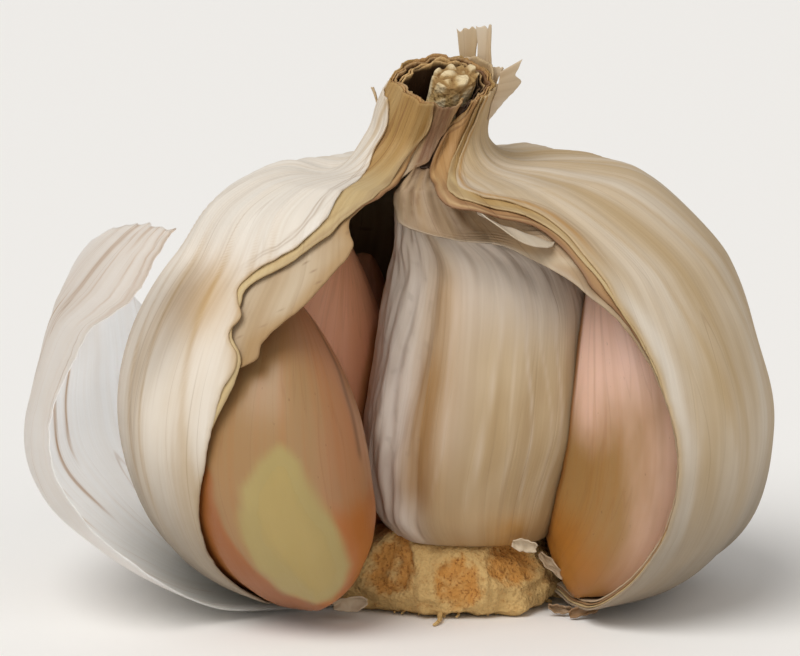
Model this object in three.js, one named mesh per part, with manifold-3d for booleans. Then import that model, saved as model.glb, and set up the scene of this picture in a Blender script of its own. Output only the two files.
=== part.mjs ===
// A garlic bulb with three of its cloves taken out at the front. It stands on its basal plate. Seven
// cloves and the cut flower stalk stand on the plate, two papery leaf sheaths wrap them and rise into
// the twisted neck, and one loose outer skin has sprung away on the left.
// Millimetres, +Z up. The origin is on the small flat under the basal plate, and the opened front
// faces -Y. Azimuths are in degrees from the front, growing towards +X.
import * as THREE from "three";
import { mergeVertices } from "three/addons/utils/BufferGeometryUtils.js";
import Module from "manifold-3d";

const wasm = await Module();
wasm.setup();

// ---- Driving dimensions ----
const SKIN = 0.6; // thickness of each papery sheath
const GAP = 0.3; // room between two pieces that lie on each other
const LAYER = SKIN + GAP;
const BELLY_DEPTH = 0.93; // the bulb is a little shallower than wide at its belly
const BULGE = 1.8; // how much further out the cloves stand where the sheaths are open

// The bulb's outer profile: share of the way from the plate to the cut neck, radius, height.
const BULB_PROFILE = [
  [0, 11.8, 1.6], [0.07, 15, 1.1], [0.16, 20.8, 2.3], [0.27, 26.8, 7], [0.4, 29.6, 16],
  [0.52, 28.6, 25], [0.62, 25, 32.2], [0.71, 19.4, 38], [0.78, 13.2, 41], [0.84, 8.2, 42.5],
  [0.89, 5.7, 44.8], [0.94, 5.1, 47.6], [1, 5, 51],
];
// Swellings where the cloves push the sheaths out: azimuth, profile share, height, spread in each.
const SWELLINGS = [
  [62, 0.4, 1.6, 17, 0.17], [103, 0.3, 3, 17, 0.13], [90, 0.62, 1.6, 26, 0.1], [97, 0.44, 0.9, 20, 0.07],
  [110, 0.74, 1.4, 45, 0.06], [88, 0.69, 1.6, 30, 0.05], [143, 0.42, 2, 17, 0.18],
  [-177, 0.42, 2, 17, 0.18], [-140, 0.42, 2, 17, 0.18], [-100, 0.45, 2, 19, 0.22],
  [-58, 0.4, 1.6, 17, 0.2], [-95, 0.83, -1.2, 40, 0.035], [-95, 0.77, 0.3, 40, 0.03],
  [-95, 0.94, 0.6, 40, 0.05], [90, 0.86, -0.5, 40, 0.04], [90, 0.73, 0.3, 40, 0.05],
  [78, 0.18, 0.6, 25, 0.06],
];
// The neck bends towards the front and a little to the right from this height on. It is less deep than
// wide, faintly pleated, and the inner sheath is tucked in there by this share of its inset.
const NECK = {
  start: 40.5, rise: 10.5, tilt: 33, lean: 0.24, shift: -2.5,
  depth: 0.86, pleats: 7, pleatDepth: 0.3, tuck: 0.3,
};

// The sheaths' torn edges beside the opened front: profile share, azimuth.
const OUTER_EDGE_RIGHT = [
  [0, 60], [0.08, 50], [0.14, 43], [0.2, 41.8], [0.32, 43.5], [0.41, 43.7], [0.5, 41.4], [0.566, 38.7],
  [0.61, 36], [0.7, 34], [0.72, 31], [0.735, 25], [0.75, 16], [0.77, 12], [0.81, 12], [0.866, 19],
  [0.9, 30], [0.93, 36], [0.97, 42], [1, 46],
];
const OUTER_EDGE_LEFT = [
  [0, -72], [0.08, -66], [0.13, -58], [0.172, -52.5], [0.22, -51], [0.3, -50.2], [0.41, -45.7],
  [0.5, -42], [0.54, -41.5], [0.56, -44.6], [0.615, -46.5], [0.656, -37], [0.7, -27], [0.741, -20],
  [0.796, -16], [0.851, -19], [0.886, -16.7], [0.927, -10], [1, -13],
];
const INNER_EDGE_RIGHT = [
  [0, 61.5], [0.08, 51.5], [0.14, 44.5], [0.25, 43], [0.32, 44.5], [0.41, 44.5], [0.5, 41.8], [0.566, 38],
  [0.6, 34.4], [0.65, 26.3], [0.69, 16.3], [0.708, 0], [0.72, -6.5], [0.745, -8.7], [0.774, -10],
  [0.83, -4], [0.86, 1], [0.88, 5], [0.906, 10], [0.945, 24], [1, 34],
];
const INNER_EDGE_LEFT = [
  [0, -73.5], [0.08, -67.5], [0.13, -59.5], [0.172, -54], [0.22, -52.4], [0.3, -51.4], [0.41, -46.7],
  [0.51, -45], [0.531, -39.7], [0.585, -34.7], [0.626, -29.3], [0.69, -21.2], [0.729, -22.7],
  [0.78, -18], [0.82, -16], [0.855, -10], [0.88, -2], [0.906, 3], [0.945, 17], [1, 27],
];
// How far up the neck each sheath reaches, by azimuth.
const OUTER_TOP = [
  [-180, 0.975], [-110, 0.97], [-75, 0.955], [0, 0.98], [45, 0.985], [90, 0.975], [130, 0.99], [180, 0.975],
];
const INNER_TOP = [
  [-180, 0.985], [-90, 0.99], [-30, 0.992], [5, 0.975], [30, 0.985], [90, 0.98], [180, 0.985],
];

// The torn skin that has sprung away on the left: profile share, radius, height.
const LOOSE_PROFILE = [
  [0, 12.6, 0.2], [0.1, 20, 0.5], [0.18, 25.6, 1], [0.26, 30.8, 3.4], [0.34, 35.1, 6.5], [0.41, 38.4, 9.9],
  [0.47, 39.7, 13.2], [0.53, 40.1, 16.6], [0.62, 39.2, 20.8], [0.72, 37.6, 26.2], [0.8, 36.4, 29.6],
  [0.87, 34.4, 33], [0.93, 31.4, 35.8], [1, 27.2, 38],
];
const LOOSE_FRONT_EDGE = [
  [0, -58], [0.2, -58], [0.3, -57], [0.35, -57.5], [0.44, -59.5], [0.5, -64], [0.56, -66.3],
  [0.63, -66.8], [0.7, -65.4], [0.75, -63.2], [0.8, -58], [0.84, -54.2], [0.88, -54], [0.95, -58.4],
  [1, -62],
];
const LOOSE_REAR_EDGE = [[0, -118], [0.2, -134], [0.4, -140], [0.6, -136], [0.8, -126], [1, -112]];
// How far up the torn skin reaches, by share of its width.
const LOOSE_TOP = [[0, 0.985], [0.12, 0.995], [0.3, 0.985], [0.55, 0.9], [0.8, 0.8], [1, 0.62]];

// Each clove follows an arc from its foot on the plate through a belly point to its tip. Its back
// faces one azimuth, and its cross-section narrows towards the stalk.
const CLOVES = {
  clove_left: { foot: [-12.8, -9.8, 2.4], belly: [-18.6, -15, 13], tip: [-15.2, -9.5, 31.2] },
  clove_right: { foot: [11.8, -4.6, 3], belly: [23, -11.4, 12], tip: [14.4, -6.5, 34] },
  clove_left_rear: { foot: [-9, 2.4, 4], belly: [-18.6, 1.6, 19], tip: [-9.8, -0.5, 35] },
  clove_right_rear: { foot: [9.2, 4.8, 3.6], belly: [22.5, 10.5, 13], tip: [10.5, 5.6, 35.5] },
  clove_back_left: { foot: [-5.2, 8.4, 3.6], belly: [-13.4, 20, 13], tip: [-7.4, 12, 31.5] },
  clove_back_right: { foot: [3.6, 9.2, 3.6], belly: [7.6, 22.5, 13], tip: [3, 11, 35.5] },
};
// The azimuth each clove's back faces, then half its width and half its thickness.
const CLOVE_GIRTHS = {
  clove_left: [-44, 11, 9.1],
  clove_right: [58, 8.3, 8.5],
  clove_left_rear: [-92, 7.8, 9.3],
  clove_right_rear: [115, 7.9, 8],
  clove_back_left: [-146, 7.8, 7.8],
  clove_back_right: [166, 7.8, 7.8],
};
// Girth along a clove: share of the way from foot to tip, share of the half width.
const PLUMPNESS = [
  [0, 0], [0.03, 0.42], [0.1, 0.72], [0.22, 0.93], [0.38, 1], [0.55, 0.99], [0.7, 0.88], [0.84, 0.64],
  [0.94, 0.34], [1, 0.05],
];
const CLOVE_WEDGE = 0.34; // how much narrower a clove's inner side is than its back

// The middle clove in its grey sheath, by height: middle in X, half width, middle in Y, half depth.
const CENTRE_CLOVE = [
  [5.6, 2.6, 4.6, -4, 3.4], [6.4, 2.5, 6.4, -4, 4.8], [7.4, 2.3, 7.6, -4.1, 5.8], [8.8, 2, 8.6, -4.2, 6.5],
  [11, 2, 9.3, -4.2, 6.9], [17, 2.8, 10.5, -4.2, 7.2], [24, 3.5, 10.2, -4, 7], [30, 3.8, 9.6, -3.6, 6.2],
  [33.5, 3, 8, -3.4, 5.4], [36, 0.8, 5.6, -4.4, 4], [38.5, -1.2, 3.4, -4.6, 2.8], [40.5, -1.6, 2.4, -4.4, 2],
];
const CENTRE_FURROW = { azimuth: -38, spread: 14, depth: 1.1 }; // groove down the middle clove's left

// The torn window in the left clove's skin, in X and Z as seen from the front.
const WINDOW = [
  [-15.3, 18.4], [-17.4, 16.9], [-19.1, 14.4], [-19.4, 12.2], [-18.9, 9.4], [-17.6, 6.6], [-14.9, 4.4],
  [-12.6, 3.6], [-10.8, 4.2], [-9.6, 5.4], [-9, 6.6], [-10.1, 10.6], [-12.2, 14.1], [-13.4, 16.7],
];

// The basal plate: radius and height of its profile, its three clove scars and its root stubs.
const PLATE_PROFILE = [
  [0, 0], [8.6, 0], [10.1, 0.7], [10.8, 2], [10.4, 3.8], [9.2, 5.5], [7.6, 6.6], [5.4, 7], [0, 7.2],
];
const PLATE_X = 0.7;
const SCARS = { azimuths: [-34, 1.5, 33], height: 4, width: 12, reach: 2.1, depth: 1, rim: 0.35 };
const PLATE_RIPPLES = [[9, 0.16, 1.3], [17, 0.12, 4.1]]; // count, height, phase
const ROOTS = { count: 15, length: 2.6, radius: 0.42, ring: 9.3, height: 0.75 };

// The flower stalk, cut off in the neck: foot and a point below the neck, radius, flattening.
const STALK = { foot: [0.2, 5.2, 7], top: 50.6, radius: 2.1, flat: 0.82, offset: [0.8, 0.1] };

// Ribbons of skin left standing at the back of the neck: azimuth, width, length, outward lean.
const TATTERS = [[146, 2.3, 5.6, -0.05], [120, 2.1, 6.4, 0], [94, 2.4, 4.4, 0.5]];

const COLOURS = {
  outer: 0xd2c0a0, inner: 0xcda768, loose: 0xe9e6df, clove: 0xb57a55, flesh: 0xd8c58a, centre: 0xb9a58c,
  plate: 0xb08a52, stalk: 0xb9a06e,
};

// ---- Helpers ----
const rad = THREE.MathUtils.degToRad;
const degrees = THREE.MathUtils.radToDeg;
const { lerp, clamp, smoothstep } = THREE.MathUtils;
const turnBetween = (a, b) => ((((a - b + 180) % 360) + 360) % 360) - 180;
const bump = (x) => Math.exp(-x * x);

// A repeatable draw of numbers from 0 to 1.
function seeded(seed) {
  let state = seed;
  return () => {
    state = (state * 16807) % 2147483647;
    return state / 2147483647;
  };
}

// A smooth curve through points whose first value grows; column picks which value it returns.
function through(points, column = 1) {
  const slope = (a, b) => (b[column] - a[column]) / (b[0] - a[0]);
  const last = points.length - 1;
  const slopes = points.map((p, i) => {
    if (i === 0) return slope(p, points[1]);
    if (i === last) return slope(points[last - 1], p);
    return (slope(points[i - 1], p) + slope(p, points[i + 1])) / 2;
  });
  return (at) => {
    const x = clamp(at, points[0][0], points[last][0]);
    let i = 0;
    while (i < last - 1 && x > points[i + 1][0]) i++;
    const width = points[i + 1][0] - points[i][0];
    const s = (x - points[i][0]) / width;
    const h00 = 2 * s ** 3 - 3 * s ** 2 + 1;
    const h10 = s ** 3 - 2 * s ** 2 + s;
    const h11 = s ** 3 - s ** 2;
    return (
      h00 * points[i][column] + h10 * width * slopes[i] + (1 - h00) * points[i + 1][column] +
      h11 * width * slopes[i + 1]
    );
  };
}

// Moves every vertex of a three.js geometry, once its doubled vertices are merged.
function reshape(geometry, place) {
  geometry.deleteAttribute("normal");
  geometry.deleteAttribute("uv");
  const merged = mergeVertices(geometry, 1e-4);
  const at = merged.getAttribute("position");
  for (let i = 0; i < at.count; i++) at.setXYZ(i, ...place(at.getX(i), at.getY(i), at.getZ(i)));
  return merged;
}

// A closed geometry as a manifold-3d solid, turned outwards if the reshaping turned it round.
function toSolid(geometry) {
  const triVerts = new Uint32Array(geometry.index.array);
  const vertProperties = new Float32Array(geometry.getAttribute("position").array);
  const make = () => new wasm.Manifold(new wasm.Mesh({ numProp: 3, vertProperties, triVerts }));
  const solid = make();
  if (solid.volume() > 0) return solid;
  for (let i = 0; i < triVerts.length; i += 3)
    [triVerts[i + 1], triVerts[i + 2]] = [triVerts[i + 2], triVerts[i + 1]];
  return make();
}

// The largest body of a solid, so that no scrap of a cut stays loose.
const largest = (solid) => solid.decompose().sort((a, b) => b.volume() - a.volume())[0];

const materials = Object.fromEntries(
  Object.entries(COLOURS).map(([name, color]) => [
    name, new THREE.MeshStandardMaterial({ color, roughness: 0.6, metalness: 0, flatShading: true }),
  ]),
);

const bulb = new THREE.Group();
function addPiece(name, solid, material) {
  const { numProp, vertProperties, triVerts } = largest(solid).getMesh();
  const positions = new Float32Array((vertProperties.length / numProp) * 3);
  for (let i = 0; i < positions.length / 3; i++)
    positions.set(vertProperties.subarray(i * numProp, i * numProp + 3), i * 3);
  const geometry = new THREE.BufferGeometry();
  geometry.setAttribute("position", new THREE.BufferAttribute(positions, 3));
  geometry.setIndex(new THREE.BufferAttribute(triVerts, 1));
  const mesh = new THREE.Mesh(geometry, material);
  mesh.name = name;
  bulb.add(mesh);
}

// ---- The bulb's own surface ----
const bulbRadius = through(BULB_PROFILE, 1);
const bulbHeight = through(BULB_PROFILE, 2);

// Bends a point above the neck's start along the neck's arc.
function bendNeck([x, y, z]) {
  const shift = NECK.shift * smoothstep(z, NECK.start - 8, NECK.start);
  const above = z - NECK.start;
  if (above <= 0) return [x + shift, y, z];
  const arc = NECK.rise / rad(NECK.tilt);
  const angle = Math.min(above / arc, rad(NECK.tilt) * 1.1);
  const beyond = Math.max(0, above - arc * angle);
  return [
    x + shift + NECK.lean * above,
    -arc * (1 - Math.cos(angle)) - beyond * Math.sin(angle) + y * Math.cos(angle),
    NECK.start + arc * Math.sin(angle) + beyond * Math.cos(angle) + y * Math.sin(angle),
  ];
}

// A point of the bulb's surface, inset by some millimetres.
function onBulb(azimuth, share, inset) {
  const step = 1e-3;
  const inside = clamp(share, step, 1 - step);
  const dr = bulbRadius(inside + step) - bulbRadius(inside - step);
  const dz = bulbHeight(inside + step) - bulbHeight(inside - step);
  const length = Math.hypot(dr, dz);
  let out = -inset;
  for (const [a, at, height, spreadA, spreadAt] of SWELLINGS)
    out += height * bump(turnBetween(azimuth, a) / spreadA) * bump((share - at) / spreadAt);
  out += NECK.pleatDepth * smoothstep(share, 0.74, 0.9) * Math.sin(NECK.pleats * rad(azimuth) + 6 * share);
  const radius = bulbRadius(share) + (out * dz) / length;
  const height = bulbHeight(share) - (out * dr) / length;
  const waist = smoothstep(share, 0, 0.3) * (1 - smoothstep(share, 0.7, 0.9));
  const neck = smoothstep(share, 0.8, 0.9);
  const depth = lerp(1, BELLY_DEPTH, waist) + (NECK.depth - 1) * neck;
  const a = rad(azimuth);
  return bendNeck([radius * Math.sin(a), -radius * depth * Math.cos(a), height]);
}

// A thin sheet: a finely divided box whose width runs round the bulb, height up it, depth inwards.
function sheet(columns, rows, place) {
  const box = new THREE.BoxGeometry(1, 1, 1, columns, rows, 1);
  return toSolid(reshape(box, (x, y, z) => place(x + 0.5, y + 0.5, 0.5 - z)));
}

function sheath(columns, rows, edgeRight, edgeLeft, top, inset, thickness = SKIN) {
  const right = through(edgeRight);
  const left = through(edgeLeft);
  const end = through(top);
  return sheet(columns, rows, (across, up, depth) => {
    const guess = lerp(right(up), left(up) + 360, across);
    const share = up * end(turnBetween(guess, 0));
    const azimuth = lerp(right(share), left(share) + 360, across);
    const tucked = inset * (1 + NECK.tuck * smoothstep(share, 0.74, 0.84));
    return onBulb(azimuth, share, tucked + thickness * depth);
  });
}

// A ribbon of skin that stands up from the neck's rim.
function tatter([azimuth, width, length, lean]) {
  const box = new THREE.BoxGeometry(1, 1, 1, 3, 5, 1);
  const root = 0.93;
  return toSolid(
    reshape(box, (x, y, z) => {
      const up = y + 0.5;
      const narrow = width * (1 - 0.45 * up) * (1 + 0.25 * Math.sin(9 * up));
      const turn = (x * narrow) / bulbRadius(root);
      const [px, py, pz] = onBulb(azimuth + degrees(turn), root, SKIN * (0.5 - z));
      const out = lean * length * up * up;
      const a = rad(azimuth);
      return [px + out * Math.sin(a), py - out * Math.cos(a), pz + length * up + 0.4 * x * up];
    }),
  );
}

// ---- Cloves ----
// A ball whose poles become a clove's foot and tip.
function ball(columns, rows, place) {
  return toSolid(
    reshape(new THREE.SphereGeometry(1, columns, rows), (x, y, z) =>
      place(1 - Math.acos(clamp(y, -1, 1)) / Math.PI, Math.atan2(x, z)),
    ),
  );
}

const plumpness = through(PLUMPNESS);
function cloveSolid(name, grow) {
  const { foot, belly, tip } = CLOVES[name];
  const [face, halfWidth, halfDepth] = CLOVE_GIRTHS[name];
  const arc = new THREE.QuadraticBezierCurve3(...[foot, belly, tip].map((p) => new THREE.Vector3(...p)));
  const back = new THREE.Vector3(Math.sin(rad(face)), -Math.cos(rad(face)), 0);
  return ball(18, 13, (along, around) => {
    const tangent = arc.getTangent(along);
    const side = new THREE.Vector3().crossVectors(tangent, back).normalize();
    const out = new THREE.Vector3().crossVectors(side, tangent).normalize();
    const girth = plumpness(along);
    const wedge = 1 - (CLOVE_WEDGE * (1 - Math.cos(around))) / 2;
    const point = arc.getPoint(along);
    point.addScaledVector(side, (halfWidth * girth + grow) * Math.sin(around) * wedge);
    point.addScaledVector(out, (halfDepth * girth + grow) * Math.cos(around));
    point.addScaledVector(tangent, grow * (along < 0.5 ? -bump(along * 8) : bump((1 - along) * 8)));
    return point.toArray();
  });
}

function centreCloveSolid(grow) {
  const [middleX, halfWidth, middleY, halfDepth] = [1, 2, 3, 4].map((c) => through(CENTRE_CLOVE, c));
  const low = CENTRE_CLOVE[0][0] - grow;
  const high = CENTRE_CLOVE.at(-1)[0] + grow;
  const squarish = (v) => Math.sign(v) * Math.abs(v) ** 0.82;
  return ball(24, 22, (along, around) => {
    const height = lerp(low, high, along);
    const capped = Math.min(1, Math.sqrt(Math.min(along, 1 - along) * 26));
    const furrow = CENTRE_FURROW.depth * smoothstep(height, 7, 12) * (1 - smoothstep(height, 32, 36));
    const aside = turnBetween(degrees(around), CENTRE_FURROW.azimuth) / CENTRE_FURROW.spread;
    const groove = furrow * bump(aside);
    const wide = capped * (halfWidth(height) + grow);
    const deep = capped * (halfDepth(height) + grow - groove);
    return [
      middleX(height) + wide * squarish(Math.sin(around)),
      middleY(height) - deep * squarish(Math.cos(around)),
      height,
    ];
  });
}

// Everything inside the inner sheath: what the cloves may fill. They bulge a little further out where
// the sheaths are open at the front.
function hollow(inset) {
  const end = 0.86;
  const [openLeft, openRight] = [through(INNER_EDGE_LEFT), through(INNER_EDGE_RIGHT)];
  return ball(48, 24, (along, around) => {
    const share = end * clamp((along - 0.04) / 0.92, 0, 1);
    const azimuth = degrees(around);
    const fromEdge = Math.min(azimuth - openLeft(share), openRight(share) - azimuth);
    const opened = smoothstep(fromEdge, 4, 12) * (1 - smoothstep(share, 0.56, 0.66));
    const [x, y, z] = onBulb(azimuth, share, inset - BULGE * opened);
    return along < 0.02 || along > 0.98 ? [0, 0, z] : [x, y, z];
  });
}

// A window's outline, pushed from the front to the bulb's middle, to cut a skin with.
function windowCutter(outline) {
  const shape = new THREE.Shape();
  shape.moveTo(...outline[0]);
  shape.splineThru([...outline.slice(1), outline[0]].map((p) => new THREE.Vector2(...p)));
  const depth = 30;
  const prism = new THREE.ExtrudeGeometry(shape, { depth, bevelEnabled: false, curveSegments: 2 });
  return toSolid(reshape(prism, (x, z, y) => [x, y - depth - 12, z]));
}

// ---- Plate, roots and stalk ----
function plateSolid(grow) {
  const profile = new THREE.CatmullRomCurve3(
    PLATE_PROFILE.map(([r, z]) => new THREE.Vector3(r, z, 0)), false, "catmullrom", 0.3,
  );
  return ball(40, 14, (along, around) => {
    const at = profile.getPoint(along);
    const azimuth = degrees(around);
    let out = grow;
    if (grow === 0 && at.y > 0.3) {
      for (const scar of SCARS.azimuths) {
        const across = turnBetween(azimuth, scar) / SCARS.width;
        const away = Math.hypot(across, (at.y - SCARS.height) / SCARS.reach);
        out += SCARS.rim * bump((away - 1.15) / 0.3) - SCARS.depth * bump(away ** 2);
      }
      for (const [count, height, phase] of PLATE_RIPPLES)
        out += height * Math.sin(count * around + phase + 2 * at.y);
    }
    const radius = Math.max(0, at.x + (at.x > 1 ? out : 0));
    const height = at.y > 0.01 ? at.y + grow : -grow;
    return [PLATE_X + radius * Math.sin(around), -radius * Math.cos(around), height];
  });
}

// One dry root stub: a bent, tapering twig sunk into the plate's lower rim.
function rootStub(azimuth, length, curl) {
  const a = rad(azimuth);
  const stub = new THREE.CylinderGeometry(0.45, 1, 1, 5, 3);
  return toSolid(
    reshape(stub, (x, y, z) => {
      const along = y + 0.5;
      const reach = ROOTS.ring - 1.4 + (length + 1.4) * along;
      const side = curl * along * along + x * ROOTS.radius;
      const height = ROOTS.height - 0.32 * along + z * ROOTS.radius * (1 - 0.3 * along);
      return [
        PLATE_X + reach * Math.sin(a) + side * Math.cos(a),
        -reach * Math.cos(a) + side * Math.sin(a),
        Math.max(height, 0.06),
      ];
    }),
  );
}

function plateWithRoots() {
  const random = seeded(5);
  let solid = plateSolid(0);
  for (let i = 0; i < ROOTS.count; i++) {
    const azimuth = (360 / ROOTS.count) * (i + 0.6 * (random() - 0.5)) - 8;
    const length = ROOTS.length * (0.35 + 0.65 * random());
    solid = solid.add(rootStub(azimuth, length, 2.4 * (random() - 0.5)));
  }
  return solid;
}

function stalkSolid() {
  const [footX, footY, footZ] = STALK.foot;
  const rows = 16;
  return ball(12, rows, (along, around) => {
    const inner = clamp((along * rows - 1) / (rows - 2), 0, 1);
    const z = lerp(footZ, STALK.top, inner);
    const rise = smoothstep(z, footZ, NECK.start);
    const end = along > 0.01 && along < 0.99 ? 1 : 0;
    const knots = 1 + 0.08 * Math.sin(3 * around + z);
    const radius = STALK.radius * knots * end;
    const x = lerp(footX, STALK.offset[0], rise) + radius * Math.sin(around);
    const y = lerp(footY, STALK.offset[1], rise) - radius * STALK.flat * Math.cos(around);
    return bendNeck([x, y, z]);
  });
}

// ---- Assembly ----
const plate = plateWithRoots();
const clearOfPlate = plateSolid(GAP);
const room = hollow(2 * LAYER);
const stalk = stalkSolid();
const centreClove = centreCloveSolid(0);

addPiece("basal_plate", plate, materials.plate);

let taken = clearOfPlate.add(centreCloveSolid(GAP));
addPiece("clove_centre", centreClove.subtract(clearOfPlate), materials.centre);

for (const name of Object.keys(CLOVES)) {
  const fitted = (grow) => cloveSolid(name, grow).intersect(room);
  if (name === "clove_left") {
    const flesh = fitted(-LAYER).intersect(hollow(3 * LAYER));
    const skinBack = cloveSolid(name, -SKIN).intersect(hollow(2 * LAYER + SKIN));
    const skin = fitted(0).subtract(skinBack).subtract(windowCutter(WINDOW));
    addPiece("clove_left_flesh", flesh.subtract(taken), materials.flesh);
    addPiece("clove_left_skin", skin.subtract(taken), materials.clove);
  } else {
    addPiece(name, fitted(0).subtract(taken), materials.clove);
  }
  taken = taken.add(cloveSolid(name, GAP));
}

addPiece("flower_stalk", stalk.subtract(taken), materials.stalk);
const outerSheath = (thickness) =>
  sheath(38, 22, OUTER_EDGE_RIGHT, OUTER_EDGE_LEFT, OUTER_TOP, 0, thickness);
const innerSheath = sheath(31, 22, INNER_EDGE_RIGHT, INNER_EDGE_LEFT, INNER_TOP, LAYER);
const clearOfOuter = outerSheath(SKIN + GAP / 3);
addPiece("inner_sheath", innerSheath.subtract(clearOfOuter).subtract(clearOfPlate), materials.inner);
const outer = TATTERS.reduce((solid, ribbon) => solid.add(tatter(ribbon)), outerSheath(SKIN));
addPiece("outer_sheath", outer.subtract(clearOfPlate), materials.outer);

const looseRadius = through(LOOSE_PROFILE, 1);
const looseHeight = through(LOOSE_PROFILE, 2);
const looseFront = through(LOOSE_FRONT_EDGE);
const looseRear = through(LOOSE_REAR_EDGE);
const looseTop = through(LOOSE_TOP);
const looseSkin = sheet(14, 16, (across, up, depth) => {
  const share = up * looseTop(across);
  const azimuth = lerp(looseFront(share), looseRear(share), across);
  const thick = SKIN * depth;
  const radius = looseRadius(share) - thick * smoothstep(share, 0.05, 0.4);
  const lift = thick * (1 - smoothstep(share, 0.15, 0.45) - smoothstep(share, 0.8, 1));
  const a = rad(azimuth);
  return [radius * Math.sin(a), -radius * BELLY_DEPTH * Math.cos(a), looseHeight(share) + lift];
});
addPiece("loose_skin", looseSkin, materials.loose);

export default bulb;
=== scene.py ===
# %% [markdown]
# # An opened garlic bulb
#
# A garlic bulb is a short flat stem, the basal plate, with a ring of cloves standing on it. Old leaf
# bases wrap the cloves as dry, papery sheaths and meet above them in a neck, where the flower stalk
# was cut off. Three cloves have been broken out at the front, so the inside shows. This script loads
# the solid model as a frame that stays put and dresses it, piece by piece, in metres.

# %% Load the frame
import math
import random
from functools import partial

import bmesh
import bpy
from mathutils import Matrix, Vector, noise
from mathutils.bvhtree import BVHTree


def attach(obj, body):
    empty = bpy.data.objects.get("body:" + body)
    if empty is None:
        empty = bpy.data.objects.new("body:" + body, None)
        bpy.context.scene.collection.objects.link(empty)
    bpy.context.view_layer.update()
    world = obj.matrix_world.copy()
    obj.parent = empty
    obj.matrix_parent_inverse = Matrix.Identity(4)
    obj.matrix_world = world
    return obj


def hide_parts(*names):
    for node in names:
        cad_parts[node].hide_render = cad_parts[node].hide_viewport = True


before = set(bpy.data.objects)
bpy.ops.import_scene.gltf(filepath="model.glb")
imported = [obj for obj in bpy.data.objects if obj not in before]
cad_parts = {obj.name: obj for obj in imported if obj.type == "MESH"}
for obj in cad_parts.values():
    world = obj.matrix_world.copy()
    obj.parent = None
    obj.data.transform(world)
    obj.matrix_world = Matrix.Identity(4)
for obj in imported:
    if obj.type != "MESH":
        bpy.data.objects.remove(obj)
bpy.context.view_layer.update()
MM = 0.001
print("nodes:", ", ".join(sorted(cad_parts)))

# %% [markdown]
# ## Small helpers for shapes
#
# The outlines below are short lists of points in millimetres. A smooth curve through such a list,
# a soft step and a soft bump are all the mathematics that the pieces need. Blender's own noise
# gives the irregular part, and it is the same on every run.


# %% Curves, steps and noise
def mix(a, b, share):
    """The value that lies share of the way from a to b."""
    return a + (b - a) * share


def clamp(value, low, high):
    """The value, held between two limits."""
    return max(low, min(high, value))


def step(value, low, high):
    """A soft step: 0 at low, 1 at high."""
    t = clamp((value - low) / (high - low), 0.0, 1.0)
    return t * t * (3.0 - 2.0 * t)


def hump(x):
    """A soft bump: 1 at 0, nearly 0 beyond 2."""
    return math.exp(-x * x)


def turn(a, b):
    """The angle from b to a in degrees, between -180 and 180."""
    return (a - b + 180.0) % 360.0 - 180.0


def grain(x, y, seed):
    """Smooth noise between about -1 and 1."""
    return noise.noise(Vector((x, y, seed * 7.31)))


CURVE_SAMPLES = 1200


def through(points, column=1):
    """A smooth curve through points whose first value grows, kept as a fine table of its values."""
    last = len(points) - 1

    def rise(a, b):
        return (b[column] - a[column]) / (b[0] - a[0])

    slopes = [rise(points[0], points[1])]
    for i in range(1, last):
        slopes.append((rise(points[i - 1], points[i]) + rise(points[i], points[i + 1])) / 2.0)
    slopes.append(rise(points[last - 1], points[last]))

    def exact(x):
        i = 0
        while i < last - 1 and x > points[i + 1][0]:
            i += 1
        width = points[i + 1][0] - points[i][0]
        s = (x - points[i][0]) / width
        start = 2 * s**3 - 3 * s**2 + 1
        leave = (s**3 - 2 * s**2 + s) * width * slopes[i]
        arrive = (s**3 - s**2) * width * slopes[i + 1]
        return start * points[i][column] + (1 - start) * points[i + 1][column] + leave + arrive

    low, high = points[0][0], points[last][0]
    samples = [exact(mix(low, high, i / CURVE_SAMPLES)) for i in range(CURVE_SAMPLES + 1)]

    def value(at):
        spot = clamp((at - low) / (high - low), 0.0, 1.0) * CURVE_SAMPLES
        i = min(int(spot), CURVE_SAMPLES - 1)
        return mix(samples[i], samples[i + 1], spot - i)

    return value


print("half way up a soft step:", step(0.5, 0, 1), "- on the top of a soft bump:", hump(0))

# %% [markdown]
# ## The bulb's own surface
#
# Every sheath follows one surface: a profile turned round the bulb's axis, swollen over each clove
# and bent forward at the neck. A point on it is named by its azimuth, in degrees from the front, and
# by its share of the way from the plate to the cut neck. The same values shape the solid model.

# %% Driving shape of the bulb
BELLY_DEPTH = 0.93
NECK_DEPTH = 0.86
# The profile: share of the way up, radius and height in mm.
BULB_PROFILE = [
    (0, 11.8, 1.6), (0.07, 15, 1.1), (0.16, 20.8, 2.3), (0.27, 26.8, 7), (0.4, 29.6, 16),
    (0.52, 28.6, 25), (0.62, 25, 32.2), (0.71, 19.4, 38), (0.78, 13.2, 41), (0.84, 8.2, 42.5),
    (0.89, 5.7, 44.8), (0.94, 5.1, 47.6), (1, 5.0, 51),
]
# Swellings and hollows: azimuth, share, height in mm, half width in degrees, half length as a share.
SWELLINGS = [
    (62, 0.4, 1.6, 17, 0.17), (103, 0.3, 3, 17, 0.13), (90, 0.62, 1.6, 26, 0.1),
    (97, 0.44, 0.9, 20, 0.07), (110, 0.74, 1.4, 45, 0.06), (88, 0.69, 1.6, 30, 0.05),
    (143, 0.42, 2, 17, 0.18), (-177, 0.42, 2, 17, 0.18), (-140, 0.42, 2, 17, 0.18),
    (-100, 0.45, 2, 19, 0.22), (-58, 0.4, 1.6, 17, 0.2), (-95, 0.83, -1.5, 40, 0.035),
    (-95, 0.77, 0.3, 40, 0.03), (-95, 0.94, 0.6, 40, 0.05), (90, 0.86, -0.5, 40, 0.04),
    (90, 0.73, 0.3, 40, 0.05), (78, 0.18, 0.6, 25, 0.06),
]
NECK_START = 40.5
NECK_RISE = 10.5
NECK_TILT = math.radians(33)
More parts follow.
